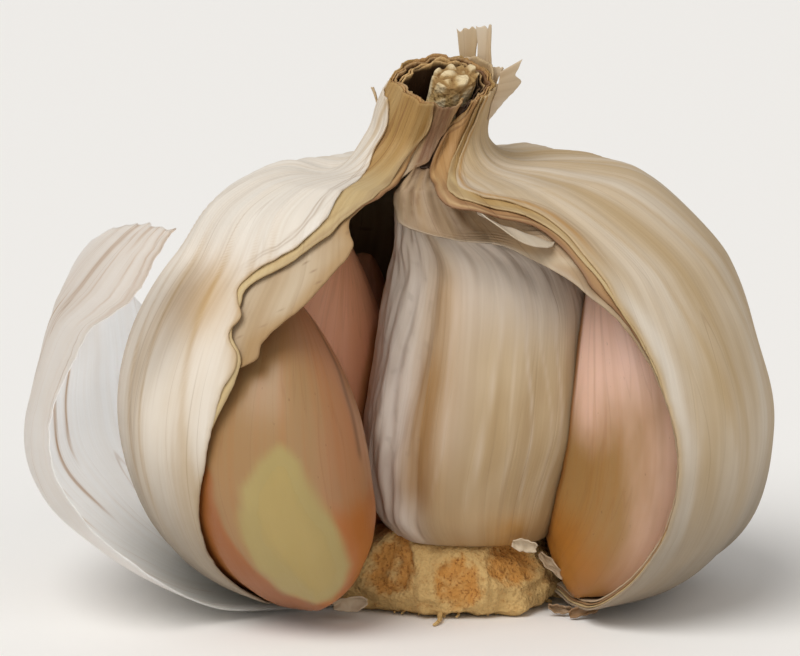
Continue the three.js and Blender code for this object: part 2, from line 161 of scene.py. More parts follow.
NECK_LEAN = 0.24
NECK_SHIFT = -2.5
RIM_STEEPNESS = 55.0

bulb_radius = through(BULB_PROFILE, 1)
bulb_height = through(BULB_PROFILE, 2)


def bend_neck(x, y, z):
    """A point above the neck's start, bent forward along the neck's arc."""
    x += NECK_SHIFT * step(z, NECK_START - 8, NECK_START)
    above = z - NECK_START
    if above <= 0:
        return Vector((x, y, z))
    arc = NECK_RISE / NECK_TILT
    angle = min(above / arc, NECK_TILT * 1.1)
    beyond = above - arc * angle
    forward = arc * (1 - math.cos(angle)) + beyond * math.sin(angle)
    rise = arc * math.sin(angle) + beyond * math.cos(angle)
    high = NECK_START + rise + y * math.sin(angle)
    return Vector((x + NECK_LEAN * above, y * math.cos(angle) - forward, high))


# Creases of the neck: azimuth at the collar and at the rim, depth in mm (a ridge is negative), width.
NECK_CREASES = [
    (-16, -12, 0.45, 4), (-24, -26, -0.4, 6), (-40, -62, 0.3, 6), (3, 27, 0.75, 3.5),
    (12, 36, -0.3, 5), (-60, -84, -0.25, 9), (62, 72, 0.3, 9), (96, 100, 0.35, 8),
    (135, 132, 0.4, 8), (-110, -112, 0.35, 9), (-145, -150, 0.4, 9), (172, 170, 0.35, 8),
]


def folds(azimuth, share):
    """Folds that every sheath shares, so that the layers nest: waves, puckers and neck creases."""
    rib = 0.24 * grain(azimuth * 0.1, share * 1.4, 1)
    rib += 0.07 * grain(azimuth * 0.32, share * 2.0, 4)
    pucker = 0.34 * grain(azimuth * 0.12, share * 2.6, 2)
    pucker += 0.16 * grain(azimuth * 0.3, share * 3.0, 6)
    neck = step(share, 0.77, 0.88)
    out = rib * step(share, 0.1, 0.3) * (1 - neck) + pucker * step(share, 0.56, 0.76) * (1 - neck)
    if neck > 0:
        up = clamp((share - 0.82) / 0.16, -0.4, 1.2)
        for low, high, depth, width in NECK_CREASES:
            out -= neck * depth * hump(turn(azimuth, mix(low, high, up)) / width)
        waves = 0.25 * grain(azimuth * 0.06, share * 4, 3) + 0.1 * grain(azimuth * 0.2, share * 4, 8)
        out += neck * waves
    return out


def on_bulb(azimuth, share, inset=0.0):
    """A point of the bulb's surface in millimetres, set in by some millimetres."""
    inside = clamp(share, 0.001, 0.999)
    rise_r = bulb_radius(inside + 0.001) - bulb_radius(inside - 0.001)
    rise_z = bulb_height(inside + 0.001) - bulb_height(inside - 0.001)
    length = math.hypot(rise_r, rise_z)
    out = folds(azimuth, share) - inset
    for facing, middle, height, wide, tall in SWELLINGS:
        away = abs(turn(azimuth, facing)) / wide
        if away < 2.6:
            out += height * hump(away) * hump((share - middle) / tall)
    radius = bulb_radius(share) + out * rise_z / length
    height = bulb_height(share) - out * rise_r / length + max(0.0, share - 1.0) * RIM_STEEPNESS
    waist = step(share, 0, 0.3) * (1 - step(share, 0.7, 0.9))
    depth = 1 + (BELLY_DEPTH - 1) * waist + (NECK_DEPTH - 1) * step(share, 0.8, 0.9)
    a = math.radians(azimuth)
    return bend_neck(radius * math.sin(a), -radius * depth * math.cos(a), height)


print("widest radius:", round(max(bulb_radius(i / 50) for i in range(51)), 1), "mm")

# %% [markdown]
# ## One helper for nodes
#
# A material is a small network of nodes. One short function adds a node of any kind, fills its
# inputs and hands back its output. The recipes name the nodes that come back again and again, such
# as a sum, a soft step or a mix of two colours. Colours are written as sRGB hex values, as in a
# paint program, and turned to the linear values that Blender shades with.

# %% Colour and node helpers
ATTRIBUTES = ("age", "shade", "blush", "amber", "flesh", "scar")
# Each recipe: the type of node, its settings, the sockets for the inputs in turn, and the output.
RECIPES = {
    "plus": ("ShaderNodeMath", {"operation": "ADD"}, (0, 1), 0),
    "minus": ("ShaderNodeMath", {"operation": "SUBTRACT"}, (0, 1), 0),
    "times": ("ShaderNodeMath", {"operation": "MULTIPLY"}, (0, 1), 0),
    "times_held": ("ShaderNodeMath", {"operation": "MULTIPLY", "use_clamp": True}, (0, 1), 0),
    "size": ("ShaderNodeMath", {"operation": "ABSOLUTE"}, (0,), 0),
    "soft_step": ("ShaderNodeMapRange", {"interpolation_type": "SMOOTHSTEP"}, (0, 1, 2), 0),
    "mix": ("ShaderNodeMix", {"data_type": "RGBA"}, (0, 6, 7), 2),
    "glaze": ("ShaderNodeMix", {"data_type": "RGBA", "blend_type": "MULTIPLY"}, (0, 6, 7), 2),
    "mix_shaders": ("ShaderNodeMixShader", {}, (0, 1, 2), 0),
    "output": ("ShaderNodeOutputMaterial", {}, (0,), None),
    "millimetre_map": ("ShaderNodeUVMap", {"uv_map": "millimetres"}, (), 0),
    "object_place": ("ShaderNodeTexCoord", {}, (), "Object"),
    "camera_ray": ("ShaderNodeLightPath", {}, (), "Is Camera Ray"),
}
for name in ATTRIBUTES:
    RECIPES[name] = ("ShaderNodeAttribute", {"attribute_name": name}, (), "Fac")


def linear(hex_colour):
    """An sRGB hex colour as linear red, green, blue and alpha."""
    parts = [int(hex_colour[i : i + 2], 16) / 255 for i in (1, 3, 5)]
    return [c / 12.92 if c <= 0.04045 else ((c + 0.055) / 1.055) ** 2.4 for c in parts] + [1.0]


def add_node(tree, kind, *inputs, **links):
    """Add a node by its recipe or its type, fill its sockets, and return its output."""
    node_type, settings, sockets, output = RECIPES.get(kind, (kind, {}, (), 0))
    node = tree.nodes.new(node_type)
    for name, value in settings.items():
        setattr(node, name, value)
    named = [(name.replace("_", " "), value) for name, value in links.items()]
    for socket, value in list(zip(sockets, inputs)) + named:
        if isinstance(value, bpy.types.NodeSocket):
            tree.links.new(value, node.inputs[socket])
        else:
            node.inputs[socket].default_value = value
    return None if output is None else node.outputs[output]


def new_material(name):
    """An empty node material, and add(kind, ...), which adds a node to it."""
    material = bpy.data.materials.new(name)
    material.use_nodes = True
    material.node_tree.nodes.clear()
    print("material:", name)
    return material, partial(add_node, material.node_tree)


print("recipes for nodes:", len(RECIPES))

# %% [markdown]
# ## Camera, light and floor
#
# The bulb is seen from a little above, straight on to the opened front, through a long lens that
# keeps its sides honest. One broad lamp at the upper left models the skins, a weak one at the right
# opens the shadows, and a pale floor throws light up under the belly.

# %% Camera, lamps and world
VIEW_ELEVATION = math.radians(9)
VIEW_DISTANCE = 350 * MM
VIEW_CENTRE = Vector((-4.37, 0, 25.9)) * MM
VIEW_WIDTH = 76 * MM
SENSOR = 36.0
ROOM_LIGHT = 0.42


def aim(thing, target):
    """Turn a camera or lamp so that it looks at a point."""
    thing.rotation_euler = (target - thing.location).to_track_quat("-Z", "Y").to_euler()


camera = bpy.data.objects.new("camera", bpy.data.cameras.new("camera"))
camera.data.sensor_width = SENSOR
camera.data.lens = SENSOR * VIEW_DISTANCE / VIEW_WIDTH
camera.data.clip_start = 0.01
towards_camera = Vector((0, -math.cos(VIEW_ELEVATION), math.sin(VIEW_ELEVATION)))
camera.location = VIEW_CENTRE + VIEW_DISTANCE * towards_camera
aim(camera, VIEW_CENTRE)
bpy.context.collection.objects.link(camera)
bpy.context.scene.camera = camera
bpy.context.scene.view_settings.view_transform = "Standard"


def add_lamp(name, direction, strength, angle, colour):
    """A wide, soft, distant lamp that shines on the bulb from a direction."""
    lamp = bpy.data.objects.new(name, bpy.data.lights.new(name, "SUN"))
    lamp.data.angle = math.radians(angle)
    lamp.data.energy = strength
    lamp.data.color = colour
    lamp.location = Vector(direction).normalized()
    aim(lamp, Vector((0, 0, 0)))
    bpy.context.collection.objects.link(lamp)


add_lamp("key_lamp", (-0.5, -0.6, 0.95), 2.0, 45, (1.0, 0.99, 0.97))
add_lamp("fill_lamp", (0.5, -0.8, 0.4), 0.45, 60, (1.0, 0.97, 0.92))

# The room's light comes from all sides. The camera sees a plain pale grey behind the bulb instead.
world = bpy.data.worlds.new("studio")
world.use_nodes = True
sky = world.node_tree
room = sky.nodes["Background"]
room.inputs["Color"].default_value = (1.0, 1.0, 1.0, 1)
room.inputs["Strength"].default_value = ROOM_LIGHT
backdrop = add_node(sky, "ShaderNodeBackground")
chosen = add_node(sky, "mix_shaders", add_node(sky, "camera_ray"), room.outputs[0], backdrop)
sky.links.new(chosen, sky.nodes["World Output"].inputs["Surface"])
bpy.context.scene.world = world
print("lens:", round(camera.data.lens), "mm")

# %% Floor
floor_finish, add = new_material("pale_floor")
add("output", add("ShaderNodeBsdfPrincipled", Base_Color=linear("#F4F2EF"), Roughness=0.9))
floor_mesh = bpy.data.meshes.new("floor")
floor_build = bmesh.new()
bmesh.ops.create_grid(floor_build, x_segments=1, y_segments=1, size=3.0)
floor_build.to_mesh(floor_mesh)
floor_build.free()
floor_mesh.materials.append(floor_finish)
floor = bpy.data.objects.new("floor", floor_mesh)
bpy.context.collection.objects.link(floor)

# %% [markdown]
# ## Materials
#
# Everything here is one plant, so the finishes share three small patterns: noise stretched along the
# skin, the same noise as a sway about nothing, and thin lines where noise crosses its own middle
# value. The pieces carry a map in millimetres, so each pattern is as fine as it is on a real bulb.


# %% Patterns that the skins share
def skin_noise(add, where, wide, tall, detail, seed):
    """Noise on a map in millimetres, with cells of the given width and length in mm."""
    size, shift = (1 / wide, 1 / tall, 1), (seed, seed * 1.7, seed)
    turned = add("ShaderNodeMapping", Vector=where, Scale=size, Location=shift)
    return add("ShaderNodeTexNoise", Vector=turned, Scale=1.0, Detail=detail)


def sway(add, pattern, amount):
    """A noise pattern as a change to and fro, of the given size."""
    return add("times", add("minus", pattern, 0.5), amount)


def thin_lines(add, pattern, width):
    """Lines where a noise pattern crosses its own middle value."""
    return add("soft_step", add("size", add("minus", pattern, 0.5)), width, 0.0)


def bumpy_surface(add, colour, height, strength, depth, **looks):
    """A shader with bumps that are a given depth in mm. Returns the shader and the bumps."""
    bump = add("ShaderNodeBump", Height=height, Strength=strength, Distance=depth * MM)
    return add("ShaderNodeBsdfPrincipled", Base_Color=colour, Normal=bump, **looks), bump


print("a pattern's cells are from 0.25 to 70 mm long on the skin")

# %% [markdown]
# ### Dry leaf sheaths
#
# The sheaths are dead leaf bases, dried to paper: cream, matt, a little translucent, with fine
# parallel veins that run from the plate to the neck. Handling and soil leave warm stains. They could
# be painted on an image, but noise that is stretched along the leaf gives the streaks at any size,
# and thin lines in it look like veins.

# %% Dry leaf sheath
# Brown of stains, also used as painted shade in the middle clove's furrow.
LEAF_STAIN_AND_SHADE = "#B98A48"
PAPER_IOR = 1.45


def dry_leaf(name, pale, warm, dark, through_light, vein, relief=0.1, blush="#B09C88"):
    """Papery leaf. Attributes warm, brown, tint and darken it, partly as painted light and shade."""
    material, add = new_material(name)
    where = add("millimetre_map")
    broad = skin_noise(add, where, 4.5, 40.0, 3.0, 1.3)
    streak = skin_noise(add, where, 0.7, 34.0, 4.0, 4.1)
    hair = skin_noise(add, where, 0.25, 12.0, 2.0, 7.7)
    drift = skin_noise(add, where, 3.2, 70.0, 1.0, 11.0)
    cloud = skin_noise(add, where, 7.0, 14.0, 3.0, 17.0)

    # Warmer where older; on the outer leaf and the middle clove this also carries painted shade and
    # light.
    aged_and_shaded = add("plus", add("plus", add("age"), sway(add, broad, 0.9)), sway(add, cloud, 0.5))
    colour = add("mix", add("soft_step", aged_and_shaded, -0.1, 1.0), linear(pale), linear(warm))
    # A tint; it also paints shade low on the outer and loose leaves, and light atop the middle clove.
    tint_and_shading_mix = add("times_held", add("blush"), add("plus", cloud, 0.5))
    colour = add("mix", tint_and_shading_mix, colour, linear(blush))
    browner = add("times_held", add("amber"), add("plus", streak, 0.5))
    colour = add("mix", browner, colour, linear(LEAF_STAIN_AND_SHADE))
    fibres = add("times", add("soft_step", streak, 0.4, 0.68), 0.12)
    colour = add("glaze", fibres, colour, linear(warm))
    line = thin_lines(add, drift, 0.011)
    veins = add("times", line, add("times", add("soft_step", broad, 0.4, 0.65), vein))
    colour = add("mix", veins, colour, linear(dark))
    colour = add("mix", add("shade"), colour, linear(dark))

    height = add("plus", streak, add("times", hair, 0.35))
    height = add("minus", height, add("times", line, 0.3))
    paper, bump = bumpy_surface(add, colour, height, 0.7, relief, Roughness=0.55, IOR=PAPER_IOR)
    glow = add("ShaderNodeBsdfTranslucent", Color=colour, Normal=bump)
    add("output", add("mix_shaders", through_light, paper, glow))
    return material


# The last colour, a grey, is painted shade on the lower part of the leaf.
outer_paper = dry_leaf(
    "outer_dry_leaf", "#EEE6DA", "#C6AC84", "#9A7A56", 0.14, 0.3, 0.06, "#9C9080"
)
inner_paper = dry_leaf("inner_dry_leaf", "#CDBBA0", "#B08F62", "#7C5638", 0.14, 0.3, 0.08)
rim_paper = dry_leaf("rolled_neck_leaf", "#DDBE8C", "#BC9254", "#2C1206", 0.05, 0.3, 0.08)
tan_paper = dry_leaf("tan_dry_leaf", "#D3BC8C", "#B08A50", "#7A4A26", 0.12, 0.5)
red_paper = dry_leaf("red_brown_dry_leaf", "#CCAA7C", "#A2744A", "#5E3018", 0.12, 0.4)
# The last colour, a grey, is painted shade on the lower part of the skin.
loose_paper = dry_leaf(
    "loose_white_leaf", "#FFFFFF", "#EBE0D4", "#B08A66", 0.88, 0.3, 0.06, "#A8A89E"
)

# %% [markdown]
# ### Clove skins and flesh
#
# Each clove has one thin, taut skin of its own. It is satin, with fine lengthwise veins, pink where
# light reached it and orange-brown where it was pressed or stood on the plate. The middle clove
# still wears a crumpled grey one, which is more like a leaf. The flesh under a torn skin is waxy and
# smooth. Light sinks a millimetre into both, so they take a little subsurface scattering.

# %% Clove skin, grey skin and flesh
FLESH_COLOURS = ("#9E8850", "#AE9862")
VEIN_BROWN = "#6B3A1E"
SPECK_BROWN = "#5F3A1C"
# Dark brown for painted shade on clove skins, in creases and where cloves meet.
PAINTED_SHADE_BROWN = "#4A2410"
MOIST_IOR = 1.4


def flesh_colour(add, cloud):
    """Cream with a green cast, a little uneven."""
    return add("mix", cloud, linear(FLESH_COLOURS[0]), linear(FLESH_COLOURS[1]))


def sinking_light(weight, red, green, blue):
    """Shader values for light that sinks in: its weight and how deep each colour goes, in mm."""
    depths = (red * MM, green * MM, blue * MM)
    return {"Subsurface_Weight": weight, "Subsurface_Radius": depths, "Subsurface_Scale": 1.0}


def clove_skin(name, main, blush, amber):
    """Taut skin: the attribute blush turns it pink and the attribute amber turns it orange-brown."""
    material, add = new_material(name)
    where = add("millimetre_map")
    streak = skin_noise(add, where, 0.9, 30.0, 4.0, 2.2)
    hair = skin_noise(add, where, 0.3, 14.0, 3.0, 5.2)
    cloud = skin_noise(add, where, 4.0, 12.0, 3.0, 9.4)
    drift = skin_noise(add, where, 2.2, 34.0, 2.0, 13.0)
    speck = skin_noise(add, where, 0.35, 0.7, 2.0, 21.0)

    wander = sway(add, cloud, 0.7)
    tint_and_shading_mix = add("soft_step", add("plus", add("blush"), wander), 0.1, 0.9)
    colour = add("mix", tint_and_shading_mix, linear(main), linear(blush))
    browner = add("soft_step", add("plus", add("amber"), wander), 0.1, 0.9)
    colour = add("mix", browner, colour, linear(amber))
    streaks = add("times", add("soft_step", streak, 0.4, 0.7), 0.2)
    colour = add("mix", streaks, colour, linear(amber))
    line = thin_lines(add, drift, 0.016)
    colour = add("mix", add("times", line, 0.1), colour, linear(VEIN_BROWN))
    specks = add("times", add("soft_step", speck, 0.7, 0.78), 0.4)
    colour = add("mix", specks, colour, linear(SPECK_BROWN))
    colour = add("mix", add("flesh"), colour, flesh_colour(add, cloud))
    # Painted shade: darker where the shade attribute is high.
    colour = add("mix", add("shade"), colour, linear(PAINTED_SHADE_BROWN))

    height = add("plus", add("times", streak, 0.6), add("times", hair, 0.3))
    height = add("minus", height, add("times", line, 0.15))
    looks = sinking_light(0.12, 1.2, 0.7, 0.3)
    skin, _ = bumpy_surface(
        add, colour, height, 0.7, 0.05, Roughness=0.4, IOR=PAPER_IOR, **looks
    )
    add("output", skin)
    return material


def clove_flesh():
    """Raw garlic flesh: waxy, cream with a green cast."""
    material, add = new_material("garlic_flesh")
    where = add("millimetre_map")
    cloud = skin_noise(add, where, 4.0, 12.0, 3.0, 9.4)
    streak = skin_noise(add, where, 1.2, 16.0, 3.0, 6.6)
    colour = flesh_colour(add, cloud)
    looks = sinking_light(0.2, 1.4, 1.0, 0.5)
    flesh, _ = bumpy_surface(
        add, colour, streak, 0.4, 0.05, Roughness=0.42, IOR=MOIST_IOR, **looks
    )
    add("output", flesh)
    return material


left_skin = clove_skin("olive_clove_skin", "#9E794F", "#B47C58", "#AC662E")
rear_skin = clove_skin("brown_clove_skin", "#E4A680", "#E09C78", "#CC8A58")
right_skin = clove_skin("pink_clove_skin", "#957040", "#F0C8B4", "#9C6628")
# The last colour, pale pinkish grey, is the left side's own tint and painted light at the top.
grey_skin = dry_leaf(
    "grey_clove_sheath", "#CBB594", "#B0946A", "#7C6654", 0.06, 0.2, 0.06, "#E4D8CC"
)
flesh_finish = clove_flesh()

# %% [markdown]
# ### Corky plate and pithy stalk
#
# The plate and the stalk are dried stem: corky, granular, cream where it was cut or rubbed and
# brown where a clove broke away. Object coordinates suit them, since they have no grain direction
# that follows the surface.


# %% Dried stem
def dried_stem(name, pale, brown, dark, grit):
    """Corky stem tissue with grit of the given size in mm, browned by scars and by painted shade."""
    material, add = new_material(name)
    where = add("object_place")
    lump = add("ShaderNodeTexNoise", Vector=where, Scale=1 / (grit * 4 * MM), Detail=4.0)
    crumb = add("ShaderNodeTexNoise", Vector=where, Scale=1 / (grit * MM), Detail=3.0)
    pore = add("ShaderNodeTexVoronoi", Vector=where, Scale=1 / (grit * 1.4 * MM))

    # Browner at the plate's scars, and in the stalk's crevices as painted shade.
    wear_and_shade = add("soft_step", add("plus", add("scar"), sway(add, lump, 1.6)), 0.15, 0.85)
    colour = add("mix", wear_and_shade, linear(pale), linear(brown))
    speckle = add("soft_step", crumb, 0.52, 0.68)
    depth = add("plus", add("times", wear_and_shade, 0.5), 0.18)
    colour = add("mix", add("times", speckle, depth), colour, linear(dark))
    # Darker patches on the plate, and painted shade in the stalk's crevices.
    colour = add("mix", add("shade"), colour, linear(dark))

    height = add("plus", crumb, add("times", pore, 0.6))
    stem, _ = bumpy_surface(add, colour, height, 0.9, 0.22, Roughness=0.8, IOR=MOIST_IOR)
    add("output", stem)
    return material


plate_finish = dried_stem("corky_plate", "#C8A66C", "#BE8742", "#7A4A1E", 0.3)
pith_finish = dried_stem("stalk_pith", "#DCC8A0", "#C6A66E", "#7A5528", 0.35)

# %% [markdown]
# ## How a sheet of skin is made
#
# A flat grid is the simplest sheet. Each of its vertices is moved to its place on the bulb, and
# also gets a place on a map in millimetres and a few numbers that the material reads, such as how
# aged the skin is there. The Solidify modifier then gives the sheet its thickness.

# %% Building pieces from grids
def add_piece(build, name, finish, node, wall=0.0, wall_side=-1.0):
    """Turn a bmesh in millimetres into a piece in metres that stands in for a node of the frame.

    A wall in mm gives a sheet its real thickness, inwards from the modelled face unless told."""
    bmesh.ops.scale(build, vec=(MM, MM, MM), verts=build.verts)
    mesh = bpy.data.meshes.new(name)
    build.to_mesh(mesh)
    build.free()
    mesh.materials.append(finish)
    mesh.shade_smooth()
    piece = bpy.data.objects.new(name, mesh)
    bpy.context.collection.objects.link(piece)
    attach(piece, "root")
    if wall:
        solid = piece.modifiers.new("thickness", "SOLIDIFY")
        solid.thickness = wall * MM
        solid.offset = wall_side
    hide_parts(node)
    print(f"{name}: {len(mesh.vertices)} vertices, wall {wall} mm")


def fill_layers(build, facts):
    """Write each vertex's map place and numbers into the mesh's own layers."""
    layers = {name: build.verts.layers.float.new(name) for name in ATTRIBUTES}
    uv = build.loops.layers.uv.new("millimetres")
    for vert in build.verts:
        for name, value in facts[vert.index][1].items():
            vert[layers[name]] = clamp(value, 0.0, 1.0)
    for face in build.faces:
        for loop in face.loops:
            loop[uv].uv = facts[loop.vert.index][0]


def sheet(columns, rows, place):
    """A grid moved by place(across, up), which gives a point, a map place and numbers."""
    build = bmesh.new()
    bmesh.ops.create_grid(build, x_segments=columns, y_segments=rows, size=0.5)
    build.verts.index_update()
    facts = {}
    for vert in build.verts:
        point, spot, numbers = place(vert.co.x + 0.5, vert.co.y + 0.5)
        facts[vert.index] = (spot, numbers)
        vert.co = point
    fill_layers(build, facts)
    return build


def crowd_ends(across, amount):
    """Spread 0 to 1 so that columns crowd towards both torn edges."""
    return across - amount * math.sin(2 * math.pi * across) / (2 * math.pi)


print("numbers that each vertex carries:", ", ".join(ATTRIBUTES))

# %% [markdown]
# ## The wrapping sheaths
#
# Several leaves lie on each other. Each one is a sheet that starts at its torn edge on the right of
# the opening, runs round the back and ends at its torn edge on the left. The edges are curves up
# the bulb, made ragged by noise, and each leaf ends a little before or after the next, so that the
# torn stack shows its layers.

# %% Torn edges of the leaves
# Each edge: share of the way up, azimuth in degrees.
OUTER_RIGHT = [
    (0, 60), (0.08, 50), (0.14, 43), (0.175, 42), (0.23, 41.5), (0.27, 42.2), (0.32, 43.5),
    (0.41, 43.7), (0.48, 42), (0.524, 40.7), (0.566, 38.7), (0.61, 36), (0.65, 35), (0.7, 35.5),
    (0.725, 34), (0.744, 29.5), (0.76, 21), (0.78, 16), (0.82, 17.5), (0.866, 25), (0.9, 36),
    (0.93, 42), (0.96, 47), (1, 50),
]
OUTER_LEFT = [
    (0, -72), (0.08, -66), (0.13, -58), (0.172, -52.5), (0.22, -51), (0.3, -50.2), (0.364, -48.2),
    (0.41, -45.7), (0.464, -44), (0.5, -43), (0.524, -41.5), (0.54, -42), (0.56, -45.3),
    (0.585, -44), (0.6, -46.5), (0.615, -48.5), (0.635, -46.3), (0.656, -41), (0.68, -34),
    (0.72, -28.5), (0.745, -29), (0.77, -30), (0.81, -35), (0.85, -46), (0.875, -55), (0.92, -59),
    (0.95, -66), (1, -92),
]
TAN_RIGHT = [
    (0, 60.5), (0.08, 50.5), (0.14, 43.5), (0.25, 42.3), (0.32, 43.9), (0.41, 44), (0.5, 41.6),
    (0.566, 38.5), (0.61, 35.4), (0.65, 33.8), (0.7, 33), (0.72, 30.5), (0.735, 25), (0.75, 15.5),
    (0.77, 11.5), (0.8, 11), (0.82, 12.5), (0.866, 19), (0.9, 30), (0.93, 36), (0.97, 42),
    (1, 46),
]
TAN_LEFT = [
    (0, -73.7), (0.08, -68.5), (0.13, -60.5), (0.172, -55), (0.22, -53.5), (0.3, -52.7),
    (0.364, -50.6), (0.41, -47.2), (0.464, -43.7), (0.52, -41.2), (0.54, -41.5), (0.56, -44.6),
    (0.6, -45.8), (0.615, -46.5), (0.635, -43), (0.656, -37), (0.68, -31), (0.7, -27),
    (0.72, -24), (0.741, -20), (0.76, -16.3), (0.796, -16), (0.851, -19), (0.886, -16.7),
    (0.927, -9.5), (0.978, -12.7), (1, -13),
]
RED_RIGHT = [
    (0, 61), (0.08, 51), (0.14, 44), (0.25, 42.6), (0.32, 44.2), (0.41, 44.3), (0.5, 41.8),
    (0.566, 38.5), (0.6, 35.4), (0.63, 32), (0.657, 31.8), (0.682, 31.8), (0.708, 29.8),
    (0.721, 24.8), (0.735, 16), (0.751, 9.3), (0.781, 6), (0.823, 5.8), (0.869, 4), (0.906, 10.3),
    (0.945, 26), (0.97, 32), (1, 35),
]
RED_LEFT = [
    (0, -76.6), (0.08, -73), (0.13, -65), (0.172, -59.4), (0.22, -58), (0.3, -57.1), (0.41, -50),
    (0.52, -42.4), (0.56, -46), (0.615, -48), (0.656, -38), (0.7, -29), (0.72, -25.5),
    (0.741, -20.5), (0.76, -15.5), (0.796, -13), (0.851, -15), (0.886, -15.5), (0.927, -10.5),
    (1, -13.5),
]
INNER_RIGHT = [
    (0, 61.5), (0.08, 51.5), (0.14, 44.5), (0.25, 43), (0.32, 44.5), (0.41, 44.5), (0.5, 41.8),
    (0.566, 38), (0.6, 34.4), (0.621, 31), (0.65, 26.3), (0.672, 21.7), (0.69, 16.3), (0.7, 9),
    (0.708, 0), (0.72, -6.5), (0.745, -9), (0.774, -10.5), (0.8, -11), (0.83, -11), (0.86, -8),
    (0.88, -3), (0.906, 9), (0.945, 24), (0.97, 31), (1, 34),
]
INNER_LEFT = [
    (0, -77.7), (0.08, -74.5), (0.13, -66.5), (0.172, -61), (0.22, -59.4), (0.3, -58.4),
    (0.41, -50.9), (0.464, -45), (0.51, -45), (0.521, -44), (0.526, -41.3), (0.531, -39.7),
    (0.542, -38), (0.556, -38.3), (0.568, -37), (0.585, -34.7), (0.603, -31.7), (0.626, -29.3),
    (0.65, -26.7), (0.676, -22.8), (0.69, -21.2), (0.705, -22.3), (0.729, -22.7), (0.75, -20),
    (0.78, -18), (0.82, -16), (0.855, -9), (0.867, 0.5), (0.88, 3.5), (0.906, 7.5), (0.945, 22),
    (0.97, 27), (1, 30),
]
# How far up each leaf reaches: azimuth, share.
OUTER_TOP = [
    (-180, 0.975), (-110, 0.97), (-75, 0.955), (0, 0.98), (45, 0.985), (90, 0.975), (130, 0.99),
    (180, 0.975),
]
INNER_TOP = [
    (-180, 0.985), (-90, 0.99), (-30, 0.992), (5, 0.975), (30, 0.985), (90, 0.98), (180, 0.985),
]
print("outer leaf's tears:", len(OUTER_RIGHT), "and", len(OUTER_LEFT), "points")

# %% [markdown]
# The edges above give azimuths in degrees by share. One function makes every leaf from them. Columns
# crowd towards both torn edges, where the detail is. Each edge gets tears, nicks and fibre tips from
# noise, turns in a little, and the sheet keeps a few folds of its own.

# %% One leaf sheath
# The map's scale: the profile's length in mm, and mm of skin for a degree of azimuth.
PROFILE_LENGTH = 98.0
GRAIN_PER_DEGREE = 0.45
LEAF_CROWDING = 0.55
EDGE_LIFT = 0.22


def ragged(share, seed, size):
    """A torn edge's wander in degrees: long tears, small nicks and the tips of fibres."""
    low, mid, fine = (grain(share * rate, 0, seed + i) for i, rate in enumerate((12, 37, 110)))
    return size * (0.8 * low + 0.6 * mid + 0.4 * fine)


def leaf_spot(azimuth, share):
    """A place on the leaf's map in millimetres."""
    return azimuth * GRAIN_PER_DEGREE, share * PROFILE_LENGTH


def leaf(name, finish, node, grid, edges, look, inset, seed, tear, wall,
         foot=0.0, own_folds=0.05, droop=None):
    """One leaf sheath. Its grid is columns and rows, its edges are right, left and top.

    look(azimuth, share, to_edge) gives its numbers, and droop lets its right side hang in."""
    edge_right, edge_left, reach = (through(edge) for edge in edges)

    def place(across, up):
        near = crowd_ends(across, LEAF_CROWDING)
        guess = mix(edge_right(up), edge_left(up) + 360, near)
        notch = 0.006 * grain(guess * 0.06, seed, 5) + 0.0025 * grain(guess * 0.3, seed, 6)
        share = mix(foot, reach(turn(guess, 0)) + notch * step(up, 0.9, 1), up)
        start = edge_right(share) + ragged(share, seed, tear)
        end = edge_left(share) + 360 + ragged(share, seed + 20, tear)
        azimuth = mix(start, end, near)
        to_edge = min(azimuth - start, end - azimuth)
        lift = EDGE_LIFT * grain(share * 14, 3 if near < 0.5 else 9, seed)
        lift = lift * hump(to_edge / 3) * step(share, 0.2, 0.3)
        own = own_folds * grain(azimuth * 0.4, share * 6, seed + 4)
        back = droop(turn(azimuth, 0), share) if droop and near < 0.5 else 0.0
        point = on_bulb(azimuth, share, inset - abs(lift) - own) + Vector((0, back, -0.16 * back))
        return point, leaf_spot(azimuth, share), look(turn(azimuth, 0), share, to_edge)

    add_piece(sheet(*grid, place), name, finish, node, wall)


print("the map is", 360 * GRAIN_PER_DEGREE, "by", PROFILE_LENGTH, "mm")

# %% [markdown]
# ### The outer leaf
#
# The outermost leaf left on the bulb is nearly white on the left and beige on the right, with a tan
# patch where it was rubbed, and its torn edge is darker. That could be painted by hand. Here soft
# bumps and steps, placed by azimuth and share, say how old, stained or dark each vertex is, so that
# a number can put one right. Painted shade makes the lower part warmer, greyer and darker, and a
# painted highlight makes the upper left shoulder paler.

# %% The outer leaf
def edge_lines(azimuth, share, to_edge, places):
    """Fine dark lines along a torn edge in the collar, where thin layers end one behind another."""
    wander = to_edge + 0.4 * grain(azimuth * 0.25, share * 30, 96)
    return 0.45 * sum(hump((wander - place) / 0.4) for place in places) * step(share, 0.62, 0.68)


